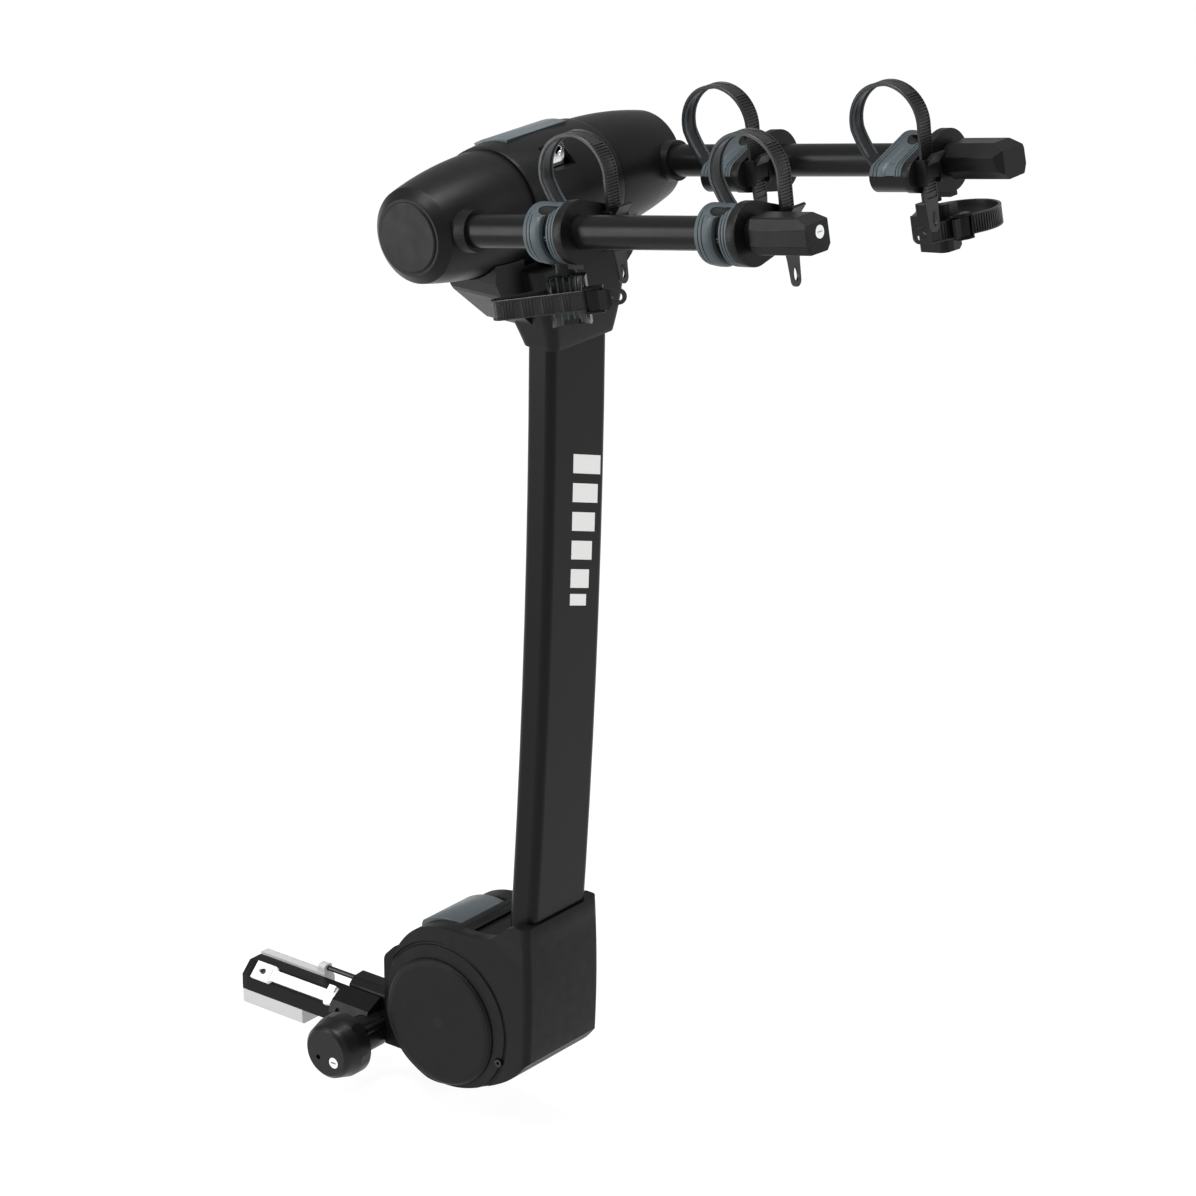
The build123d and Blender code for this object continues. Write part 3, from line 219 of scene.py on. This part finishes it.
def circle_through(a, b, c):
    """Centre and radius of the circle through three points of a plane."""
    d = 2 * (a[0] * (b[1] - c[1]) + b[0] * (c[1] - a[1]) + c[0] * (a[1] - b[1]))
    squares = [p[0] ** 2 + p[1] ** 2 for p in (a, b, c)]
    x = (squares[0] * (b[1] - c[1]) + squares[1] * (c[1] - a[1]) + squares[2] * (a[1] - b[1])) / d
    y = (squares[0] * (c[0] - b[0]) + squares[1] * (a[0] - c[0]) + squares[2] * (b[0] - a[0])) / d
    return (x, y), hypot(a[0] - x, a[1] - y)


def arc_points(a, b, c, step=1.0):
    """Points along the arc from a through b to c."""
    (x, y), radius = circle_through(a, b, c)
    start, middle, end = (atan2(p[1] - y, p[0] - x) for p in (a, b, c))
    turn = (end - start) % (2 * pi)
    if (middle - start) % (2 * pi) > turn:
        turn -= 2 * pi
    count = max(2, int(abs(turn) * radius / step))
    return [(x + radius * cos(start + turn * i / count), y + radius * sin(start + turn * i / count))
            for i in range(count + 1)]


class Path:
    """Line in a plane, measured along its length."""

    def __init__(self, points):
        self.points = [points[0]]
        for p in points[1:]:
            q = self.points[-1]
            if hypot(p[0] - q[0], p[1] - q[1]) > 1e-6:
                self.points.append(p)
        self.marks = [0.0]
        for a, b in zip(self.points, self.points[1:]):
            self.marks.append(self.marks[-1] + hypot(b[0] - a[0], b[1] - a[1]))
        self.length = self.marks[-1]

    def at(self, s):
        s = min(max(s, 0.0), self.length)
        i = max(1, next((k for k, mark in enumerate(self.marks) if mark >= s), len(self.marks) - 1))
        t = (s - self.marks[i - 1]) / (self.marks[i] - self.marks[i - 1])
        a, b = self.points[i - 1], self.points[i]
        return a[0] + (b[0] - a[0]) * t, a[1] + (b[1] - a[1]) * t

    def frame(self, s, reach=2.5):
        """Point and the normal on the left of the direction of travel."""
        a, b = self.at(s - reach), self.at(s + reach)
        length = hypot(b[0] - a[0], b[1] - a[1])
        return self.at(s), (-(b[1] - a[1]) / length, (b[0] - a[0]) / length)


def grid_solid(build, rows):
    """Closed tube of equal rings of points, with both ends capped."""
    rings = [[build.verts.new(p) for p in row] for row in rows]
    count = len(rings[0])
    for first, second in zip(rings, rings[1:]):
        for i in range(count):
            j = (i + 1) % count
            build.faces.new((first[i], first[j], second[j], second[i]))
    build.faces.new(list(reversed(rings[0])))
    build.faces.new(rings[-1])


def ring_solid(build, outer, inner, low, high):
    """Plate with a hole.

    The outer and inner loops have equal counts, and low and high place a loop point in space.
    """
    loops = [[build.verts.new(place(p)) for p in loop] for loop, place in
             ((outer, low), (outer, high), (inner, high), (inner, low))]
    count = len(outer)
    for a, b in zip(loops, loops[1:] + loops[:1]):
        for i in range(count):
            j = (i + 1) % count
            build.faces.new((a[i], a[j], b[j], b[i]))


def fix_normals(build):
    bmesh.ops.recalc_face_normals(build, faces=build.faces)
    return build


def hull_outline(r0, r1, reach, drop, count=72):
    """Two circles joined by their outer tangents: points (y, z) round the outline."""
    distance = hypot(reach, drop)
    tilt = atan2(drop, reach)
    lean = pi / 2 - (pi / 2 - asin_safe((r0 - r1) / distance))
    points = []
    for i in range(count):
        angle = 2 * pi * i / count
        relative = (angle - tilt + pi) % (2 * pi) - pi
        if abs(relative) < pi / 2 - lean:
            points.append((reach + r1 * cos(angle), drop + r1 * sin(angle)))
        else:
            points.append((r0 * cos(angle), r0 * sin(angle)))
    return points


def asin_safe(value):
    return atan2(value, sqrt(max(0.0, 1 - value * value)))


# ---------------------------------------------------------------- straps
STRAP_WIDTH, STRAP_THICK = 20.0, 3.0
TOOTH_PITCH, TOOTH_HIGH = 3.1, 1.2


def tooth_marks(spans, length):
    """Where the strap's outer face changes height: (distance, is it a gap between teeth)."""
    marks = [(0.0, False)]
    for start, end in spans:
        s = start
        while s + TOOTH_PITCH <= end:
            gap_end = s + 0.42 * TOOTH_PITCH
            marks += [(s, False), (s + 0.12, True), (gap_end, True), (gap_end + 0.12, False)]
            s += TOOTH_PITCH
    fill = [(s * 2.0, False) for s in range(1, int(length / 2.0))]
    for s, gap in fill:
        if not any(start <= s <= end for start, end in spans):
            marks.append((s, gap))
    marks.append((length, False))
    return sorted(marks)


def ribbon(build, path, place, outward, spans, width=STRAP_WIDTH, inner=-STRAP_THICK / 2,
           outer=STRAP_THICK / 2):
    """Ladder strap along a path: side rails, and teeth between them over the given spans."""
    half = width / 2
    rail = half - 2.0
    rows = []
    for s, gap in tooth_marks(spans, path.length):
        (a, b), (na, nb) = path.frame(s)
        na, nb = na * outward, nb * outward
        floor = outer - TOOTH_HIGH
        toothed = any(start <= s <= end for start, end in spans)
        middle = floor if gap or not toothed else outer - 0.12
        section = [(-half, inner), (-half + 1.2, inner - 0.35), (half - 1.2, inner - 0.35), (half, inner),
                   (half, outer - 0.3), (half - 0.4, outer), (rail + 0.3, outer), (rail, middle),
                   (-rail, middle), (-rail - 0.3, outer), (-half + 0.4, outer), (-half, outer - 0.3)]
        rows.append([place(a + na * n, b + nb * n, v) for v, n in section])
    grid_solid(build, rows)


def dots(build, path, place, outward, marks, across=(-5.2, 5.2), level=STRAP_THICK / 2 - TOOTH_HIGH - 0.1):
    """Pairs of small moulded pips on the strap's outer face."""
    for s in marks:
        (a, b), (na, nb) = path.frame(s)
        na, nb = na * outward, nb * outward
        ta, tb = nb, -na
        for v in across:
            rings = []
            for height, radius in ((0.0, 0.85), (0.55, 0.75), (0.8, 0.45)):
                ring = []
                for k in range(8):
                    u, w = radius * cos(k * pi / 4), radius * sin(k * pi / 4)
                    n = level + height
                    ring.append(place(a + na * n + ta * u, b + nb * n + tb * u, v + w))
                rings.append(ring)
            grid_solid(build, rings)


def rounded_loop(width0, width1, length, radius, count=48, start=0.0):
    """Outline of a tapering tab: (along, across) from a straight edge to a round end."""
    points = []
    centre = length - radius
    for i in range(count):
        angle = -pi / 2 + pi * i / (count - 1)
        points.append((centre + radius * cos(angle), radius * sin(angle)))
    return [(start, -width0)] + [(start + 0.3 * (centre - start), -width1)] + points + \
        [(start + 0.3 * (centre - start), width1)] + [(start, width0)]


def tail_loop(build, origin, along, across, normal, thick, length, radius, hole0, hole1, root):
    """Finger loop at a strap's end: a tapering tab with a long rounded hole."""
    outer = rounded_loop(root, root * 0.86, length, radius)
    count = len(outer)
    inner = []
    for i in range(count):
        angle = -pi + 2 * pi * (i + 0.5) / count
        u = hole0 + (hole1 - hole0) * (0.5 + 0.5 * cos(angle))
        r = 2.6 + (radius - 5.2) * (u - hole0) / (hole1 - hole0)
        inner.append((u, r * sin(angle)))
    o, t, w, n = (Vector(v) for v in (origin, along, across, normal))

    def at(level):
        return lambda p: o + t * p[0] + w * p[1] + n * level

    ring_solid(build, outer, inner, at(-thick / 2), at(thick / 2))


STRAP_Y = 47.0


def cradle_strap_path():
    """Anchor, loop over the seat, buckle and the start of the tail, in (x, z)."""
    anchor = arc_points((-12, -3), (-31, 20), (-40.5, 42))
    return Path(anchor + arc_points((-40.5, 42), (0, 88), (40.5, 42)) + [(39, 8), (39, -28)])


def make_cradle_strap(name):
    build = bmesh.new()
    path = cradle_strap_path()

    def place(a, b, v):
        return Vector((a, STRAP_Y + v, b))

    ribbon(build, path, place, 1, [(26, 116), (156, path.length - 2)])
    dots(build, path, place, 1, (121, 132, 143, 153))
    tail_loop(build, (39, STRAP_Y, -28), (0, 0, -1), (0, 1, 0), (1, 0, 0), 2.6, 34, 6.8, 13, 28.5, 9.8)
    body = f"cradle_{name}"
    piece_from(f"ladder_strap_{name}", fix_normals(build), cradle_matrix(name), body, "strap_rubber",
               replaces=[f"cradle_strap_{name}"])
    lining = bmesh.new()
    for inner, outer in ((-9.0, -5.6), (5.6, 9.0)):
        rows = []
        for i in range(108):
            (a, b), (na, nb) = path.frame(22.0 + i)
            fade = min(1.0, (107 - i) / 8.0, (i + 1) / 5.0)
            section = [(inner, 1.4), (outer, 1.4), (outer, 1.9 + 0.5 * fade), (outer - 0.8, 2.1 + 0.9 * fade),
                       (inner + 0.8, 2.1 + 0.9 * fade), (inner, 1.9 + 0.5 * fade)]
            rows.append([place(a - na * n, b - nb * n, v) for v, n in section])
        grid_solid(lining, rows)
    piece_from(f"strap_lining_{name}", fix_normals(lining), cradle_matrix(name), body, "slate_rubber")


# ---------------------------------------------------------------- cradle liners
SEAT_R, SEAT_AT = 24.0, (4.0, 44.0)


def liner_cutter():
    """The tube's channel, and the bare underside of the saddle's nose."""
    build = bmesh.new()
    turned = Matrix.Translation((SEAT_AT[0], 40, SEAT_AT[1])) @ Matrix.Rotation(pi / 2, 4, "X")
    bmesh.ops.create_cone(build, cap_ends=True, segments=96, radius1=SEAT_R, radius2=SEAT_R, depth=170,
                          matrix=turned)
    under_nose = Matrix.Translation((0, 58, -30.5)) @ Matrix.Diagonal((90, 64, 59, 1))
    bmesh.ops.create_cube(build, size=1.0, matrix=under_nose)
    mesh = bpy.data.meshes.new("cutter")
    build.to_mesh(mesh)
    build.free()
    cutter = bpy.data.objects.new("cutter", mesh)
    bpy.context.scene.collection.objects.link(cutter)
    return cutter


def lofted_ring(build, stations, end_radius, core, core_end):
    """Rubber ring pad: the outline's radius changes along x; a smaller outline is left open for the core."""
    def loop(x, r, e):
        return [Vector((x, y, z)) for y, z in hull_outline(r, e, 56, -4)]

    rows = [loop(x, r, end_radius + r - 31.5) for x, r in stations]
    rows += [loop(x, core, core_end) for x in (stations[-1][0], stations[0][0])]
    rings = [[build.verts.new(p) for p in row] for row in rows]
    count = len(rings[0])
    for first, second in zip(rings, rings[1:] + rings[:1]):
        for i in range(count):
            j = (i + 1) % count
            build.faces.new((first[i], first[j], second[j], second[i]))


def liner_mesh():
    """Two ribbed ring pads and the sheet over the saddle, with the seat cut across them."""
    build = bmesh.new()
    wide = [(-16, 27.6), (-15.4, 29.4), (-13.4, 30.1), (-11.2, 30.2), (-10.7, 29.3), (-10.0, 29.3), (-9.5, 30.7),
            (-6.4, 31.1), (-5.9, 30.2), (-5.2, 30.2), (-4.7, 31.4), (1.5, 31.5), (4.0, 30.8), (5.4, 29.6),
            (6.0, 27.6)]
    narrow = [(13.0, 27.4), (13.5, 29.6), (15.0, 31.0), (16.6, 31.2), (17.1, 30.3), (17.8, 30.3), (18.3, 31.2),
              (20.2, 31.3), (20.7, 30.5), (21.4, 30.5), (21.9, 31.1), (23.2, 31.1), (23.8, 30.6)]
    for stations in (wide, narrow):
        lofted_ring(build, stations, 17.0, 25.2, 13.2)
    rows = []
    for x in (4.6, 5.8, 13.2, 14.4):
        outer = [p for p in hull_outline(29.4, 15.6, 56, -4, 144) if p[1] > -1 and p[0] > -9]
        inner = [p for p in hull_outline(25.2, 13.2, 56, -4, 144) if p[1] > -1 and p[0] > -9]
        loop = sorted(outer, key=lambda p: p[0]) + sorted(inner, key=lambda p: -p[0])
        rows.append([Vector((x, y, z)) for y, z in loop])
    counts = {len(row) for row in rows}
    assert len(counts) == 1
    grid_solid(build, rows)
    fix_normals(build)
    return build


def cut_liner():
    """The liner with the bicycle tube's channel taken out, shared by all four cradles."""
    mesh = bpy.data.meshes.new("liner_blank")
    build = liner_mesh()
    build.to_mesh(mesh)
    build.free()
    blank = bpy.data.objects.new("liner_blank", mesh)
    bpy.context.scene.collection.objects.link(blank)
    cutter = liner_cutter()
    modifier = blank.modifiers.new("seat", "BOOLEAN")
    modifier.object, modifier.operation, modifier.solver = cutter, "DIFFERENCE", "EXACT"
    modifier.use_self = True
    graph = bpy.context.evaluated_depsgraph_get()
    result = bmesh.new()
    result.from_mesh(blank.evaluated_get(graph).to_mesh())
    bpy.data.objects.remove(blank)
    bpy.data.objects.remove(cutter)
    return result


def make_liners():
    shared = cut_liner()
    for name in STATIONS:
        piece_from(f"ribbed_liner_{name}", shared.copy(), cradle_matrix(name), f"cradle_{name}", "slate_rubber",
                   replaces=[f"cradle_liner_{name}"], smooth=28.0)
    shared.free()


# ---------------------------------------------------------------- anti-sway cages
LOOP_Z = -66.0


def cage_strap_path(side):
    """Centre line of the cage's strap in (x, y), as seen along its width."""
    if side == "near":
        return Path([(-24, 4.5)] + [(-70, -9)] + arc_points((-70, -9), (-74, -17), (-66, -23)) + [(38, -23)])
    return Path([(-24, 4.5), (-33, -10)] + arc_points((-33, -10), (6, -76), (42, -22)) + [(26, 34)])


def make_cage_strap(side):
    build = bmesh.new()
    path = cage_strap_path(side)

    def place(a, b, v):
        return Vector((a, b, LOOP_Z + v))

    outward = -1
    if side == "near":
        spans = [(71, 84), (90, 104), (110, 124), (130, 142)]
        marks = (68, 87, 107, 127)
    else:
        spans = [(30, 60), (96, path.length - 8)]
        marks = (66, 78, 90)
    ribbon(build, path, place, outward, spans)
    dots(build, path, place, outward, marks)
    (a, b), (na, nb) = path.frame(path.length)
    along = Vector((nb, -na, 0)).normalized()
    tail_loop(build, (a, b, LOOP_Z), along, (0, 0, 1), along.cross(Vector((0, 0, 1))), 2.6, 20, 8, 5.5, 15.5, 9.8)
    piece_from(f"cage_ladder_{side}", fix_normals(build), cage_matrix(side), f"cage_{side}", "strap_rubber",
               replaces=[f"cage_strap_{side}"])


def soft_box(build, low, high, radius=0.8):
    """Box with rounded edges."""
    size = Vector(high) - Vector(low)
    middle = (Vector(high) + Vector(low)) / 2
    placed = Matrix.Translation(middle) @ Matrix.Diagonal((*size, 1))
    made = bmesh.ops.create_cube(build, size=1.0, matrix=placed)
    edges = {edge for vert in made["verts"] for edge in vert.link_edges}
    bmesh.ops.bevel(build, geom=list(edges), offset=radius, segments=2, profile=0.5, affect="EDGES")


def make_cage_buckle(side):
    """Buckle frame: two cheeks, a back plate and a front bar that the strap runs under."""
    build = bmesh.new()
    for z0, z1 in ((-13, -10.4), (10.4, 13)):
        soft_box(build, (-10, -6.5, z0), (10, 5, z1))
        soft_box(build, (-6, -8.2, z0 + 0.2), (2, -5, z1 - 0.2))
    soft_box(build, (-10, 1.8, -11), (10, 5, 11))
    soft_box(build, (-10, -6.5, -11), (-7.4, -1.8, 11))
    if side == "near":
        place = Matrix.Translation((26, -23, LOOP_Z))
    else:
        place = Matrix.Translation((36, -1, LOOP_Z)) @ Matrix.Rotation(radians(106), 4, "Z")
    piece_from(f"cage_buckle_{side}", build, cage_matrix(side) @ place, f"cage_{side}", "black_plastic")


def waist_depth(x, z):
    """Y of the pad's waisted face."""
    waist = 15.5 + 5.5 * ((z - LOOP_Z) / 25.0) ** 2
    depth = -22 + sqrt(waist * waist - x * x) if abs(x) < waist else -16.0
    return max(depth, -16.0)


PAD_LOW, PAD_HIGH = -92.0, -44.0


def make_cage_pad(side):
    """Waisted rubber pad, and the raised ribs that run down its face."""
    pad = bmesh.new()
    xs = [-19 + 38 * i / 60 for i in range(61)]
    heights = [PAD_LOW + (PAD_HIGH - PAD_LOW) * k / 24 for k in range(25)]
    front = [[pad.verts.new((x, waist_depth(x, z), z)) for x in xs] for z in heights]
    back = [[pad.verts.new((x, -4.0, z)) for x in xs] for z in heights]
    width = len(xs)
    for k in range(len(heights) - 1):
        for i in range(width - 1):
            pad.faces.new((front[k][i], front[k][i + 1], front[k + 1][i + 1], front[k + 1][i]))
            pad.faces.new((back[k][i], back[k + 1][i], back[k + 1][i + 1], back[k][i + 1]))
        for i in (0, width - 1):
            pad.faces.new((front[k][i], front[k + 1][i], back[k + 1][i], back[k][i]))
    for k in (0, len(heights) - 1):
        for i in range(width - 1):
            pad.faces.new((front[k][i], front[k][i + 1], back[k][i + 1], back[k][i]))
    piece_from(f"cage_ribbed_pad_{side}", fix_normals(pad), cage_matrix(side), f"cage_{side}", "slate_rubber",
               "strap_rubber", replaces=[f"cage_pad_{side}"], smooth=30.0)
    ribs = bmesh.new()
    for x in (-15.5, -9.5, -3.5, 2.5, 8.5, 14.5):
        rows = []
        for z in heights:
            bend = 1 + 0.10 * ((z - LOOP_Z) / 25.0) ** 2
            rows.append([Vector((x * bend + u, waist_depth(x, z) + n, z)) for u, n in
                         ((-1.1, 0.6), (-0.9, -0.9), (-0.3, -1.3), (0.5, -1.2), (1.0, -0.8), (1.1, 0.6))])
        grid_solid(ribs, rows)
    piece_from(f"cage_ribs_{side}", fix_normals(ribs), cage_matrix(side), f"cage_{side}", "slate_rubber")


# ---------------------------------------------------------------- mast graphic
MAST_LOW, MAST_MIDDLE, MAST_HIGH = (434.0, 104.0), (463.0, 545.0), (472.5, 930.0)
MAST_HALF_DEPTH = 17.5


def mast_face(z, lift):
    """X of the mast's rear face at a height, in millimetres."""
    (x, zc), radius = circle_through(MAST_LOW, MAST_MIDDLE, MAST_HIGH)
    sign = 1 if MAST_MIDDLE[0] > x else -1
    reach = radius + sign * (MAST_HALF_DEPTH + lift)
    return x + sign * sqrt(reach * reach - (z - zc) ** 2)


def make_mast_graphic():
    """Printed row of slanted bars on the mast's rear face, in place of any lettering."""
    build = bmesh.new()
    bars = [(740, 21, 1.0), (708, 21, 0.92), (676, 21, 0.84), (644, 21, 0.76), (612, 21, 0.68), (584, 13, 0.60)]
    y0, y1, slant = -9.0, 36.0, 14.0
    for top, height, share in bars:
        right = y0 + (y1 - y0) * share
        rows = []
        for i in range(9):
            y = y0 + (right - y0) * i / 8
            shift = slant * (y - y0) / (y1 - y0)
            upper, lower = top - shift, top - height - shift
            corners = [(upper, 0.12), (lower, 0.12), (lower, -0.2), (upper, -0.2)]
            rows.append([Vector((mast_face(z, lift), y, z)) for z, lift in corners])
        grid_solid(build, rows)
    piece_from("mast_graphic", fix_normals(build), Matrix.Scale(MM, 4), "mast", "white_wedge", "white_print")


# ---------------------------------------------------------------- small trim
def screw_head(name, origin, direction, radius, height, body, slot, recess="hex"):
    """Button head with a driver recess, standing on a surface."""
    build = bmesh.new()
    sides = 6 if recess == "hex" else 24
    count = 48
    axis = Vector(direction).normalized()
    turned = axis.to_track_quat("Z", "Y").to_matrix().to_4x4()

    def ring(r, z, corners=0):
        points = []
        for i in range(count):
            angle = 2 * pi * i / count
            if corners:
                within = (angle % (2 * pi / corners)) - pi / corners
                r_here = r * cos(pi / corners) / cos(within)
            else:
                r_here = r
            points.append(Vector((r_here * cos(angle), r_here * sin(angle), z)))
        return points

    rows = [ring(radius * 0.3, -0.5), ring(radius, -0.5), ring(radius, height * 0.35),
            ring(radius * 0.92, height * 0.75), ring(radius * 0.7, height), ring(radius * 0.5, height, sides),
            ring(radius * 0.46, height * 0.2, sides)]
    grid_solid(build, rows)
    place = Matrix.Translation(Vector(origin) * MM) @ Matrix.Scale(MM, 4) @ turned
    return piece_from(name, fix_normals(build), place, body, slot)


def make_trim():
    bevel_out = Vector((0, -1, 1)).normalized()
    wedge_top = Vector((0, -8.875, 8.875)) + bevel_out * 6.3
    screw_head("wedge_screw", Vector((33, 0, 0)) + wedge_top, bevel_out, 3.4, 1.2, "wedge", "dark_steel")
    for name in STATIONS:
        matrix = cradle_matrix(name)
        place = matrix @ Vector((9.4, -25.1, -1))
        out = (matrix.to_3x3() @ Vector((0, -1, 0))).normalized()
        screw_head(f"slot_screw_{name}", place / MM, out, 2.6, 1.3, f"cradle_{name}", "dark_steel")


# ---------------------------------------------------------------- CAD nodes
SOFT_EDGES = {"knuckle_housing": 0.9, "pivot_caps": 0.8, "head_cover": 0.6, "head_bracket": 1.2, "hub_near": 0.9,
              "hub_far": 0.9, "hub_caps": 0.5, "knob_housing_near": 0.9, "knob_housing_far": 0.9, "knob": 0.8,
              "arm_end_near": 0.7, "arm_end_far": 0.7, "adapter_blocks": 0.5, "wedge": 0.35, "hitch_bar": 0.5,
              "bar_end_plug": 0.4, "tilt_lever": 0.8, "fold_lever": 0.8, "pivot_bracket": 0.5, "hook_loop": 0.5}


def finish_cad_nodes():
    for name, node in NODES.items():
        if node.hide_render:
            continue
        dress(node, LOOK_OF.get(name, SLOT_OF[name]))
        soft = SOFT_EDGES.get(name, 0.35 if name.startswith("cradle_base") or name.startswith("cage") else 0.0)
        if soft:
            weld = node.modifiers.new("weld", "WELD")
            weld.merge_threshold = 1e-6
            bevel = node.modifiers.new("soft_edges", "BEVEL")
            bevel.width = soft * MM
            bevel.segments = 3
            bevel.limit_method = "ANGLE"
            bevel.angle_limit = radians(32)
            bevel.use_clamp_overlap = True
            bevel.harden_normals = True


# ---------------------------------------------------------------- stage, light and camera
def make_floor():
    build = bmesh.new()
    bmesh.ops.create_grid(build, x_segments=1, y_segments=1, size=120.0)
    mesh = bpy.data.meshes.new("floor")
    build.to_mesh(mesh)
    build.free()
    floor = bpy.data.objects.new("floor", mesh)
    floor.location.z = CAD_LOW.z - 0.02
    bpy.context.scene.collection.objects.link(floor)
    material, tree, shader = node_tree("pale_floor")
    cloud = spread(tree, noise(tree, 3.0), 0.0, 1.0)
    tone = mix_color(tree, cloud, (0.16, 0.16, 0.16, 1), (0.18, 0.18, 0.18, 1))
    tree.links.new(tone, shader.inputs["Base Color"])
    glow = mix_color(tree, cloud, (0.99, 0.99, 0.99, 1), (1, 1, 1, 1))
    tree.links.new(glow, shader.inputs["Emission Color"])
    shader.inputs["Emission Strength"].default_value = 0.93
    shader.inputs["Roughness"].default_value = 0.9
    shader.inputs["Specular IOR Level"].default_value = 0.0
    mesh.materials.append(material)


def area_light(name, place, target, size, power, size_y=None):
    light = bpy.data.lights.new(name, "AREA")
    light.shape = "RECTANGLE"
    light.size, light.size_y = size, size_y or size
    light.energy = power
    lamp = bpy.data.objects.new(name, light)
    lamp.location = place
    lamp.rotation_mode = "QUATERNION"
    lamp.rotation_quaternion = (Vector(target) - Vector(place)).to_track_quat("-Z", "Y")
    bpy.context.scene.collection.objects.link(lamp)


def make_lights():
    world = bpy.data.worlds.new("studio")
    world.use_nodes = True
    world.node_tree.nodes["Background"].inputs["Color"].default_value = (1.0, 1.0, 1.0, 1)
    world.node_tree.nodes["Background"].inputs["Strength"].default_value = 0.42
    bpy.context.scene.world = world
    area_light("left_box", (-1.5, -2.4, 1.3), (0.45, 0, 0.6), 0.9, 62, 2.6)
    area_light("top_box", (0.5, -0.3, 2.7), (0.6, 0, 1.0), 0.7, 70, 2.4)
    area_light("rear_box", (2.8, 1.6, 1.9), (0.5, 0, 0.7), 0.8, 9, 1.8)


CAMERA_AT = Vector((3.327, -3.526, 2.340))
CAMERA_LOOKS = Vector((-0.5814, 0.7283, -0.3627))
CAMERA_LENS = 139.9


def make_camera():
    camera = bpy.data.cameras.new("camera")
    camera.lens = CAMERA_LENS
    camera.sensor_width = 36.0
    camera.clip_end = 60.0
    rig = bpy.data.objects.new("camera", camera)
    rig.location = CAMERA_AT
    rig.rotation_mode = "QUATERNION"
    rig.rotation_quaternion = CAMERA_LOOKS.to_track_quat("-Z", "Y")
    bpy.context.scene.collection.objects.link(rig)
    bpy.context.scene.camera = rig


# ---------------------------------------------------------------- build
for cradle in STATIONS:
    make_cradle_strap(cradle)
make_liners()
for arm in ("near", "far"):
    make_cage_strap(arm)
    make_cage_buckle(arm)
    make_cage_pad(arm)
make_mast_graphic()
make_trim()
finish_cad_nodes()
make_floor()
make_lights()
make_camera()
bpy.context.scene.view_settings.view_transform = "Standard"

bpy.context.view_layer.update()
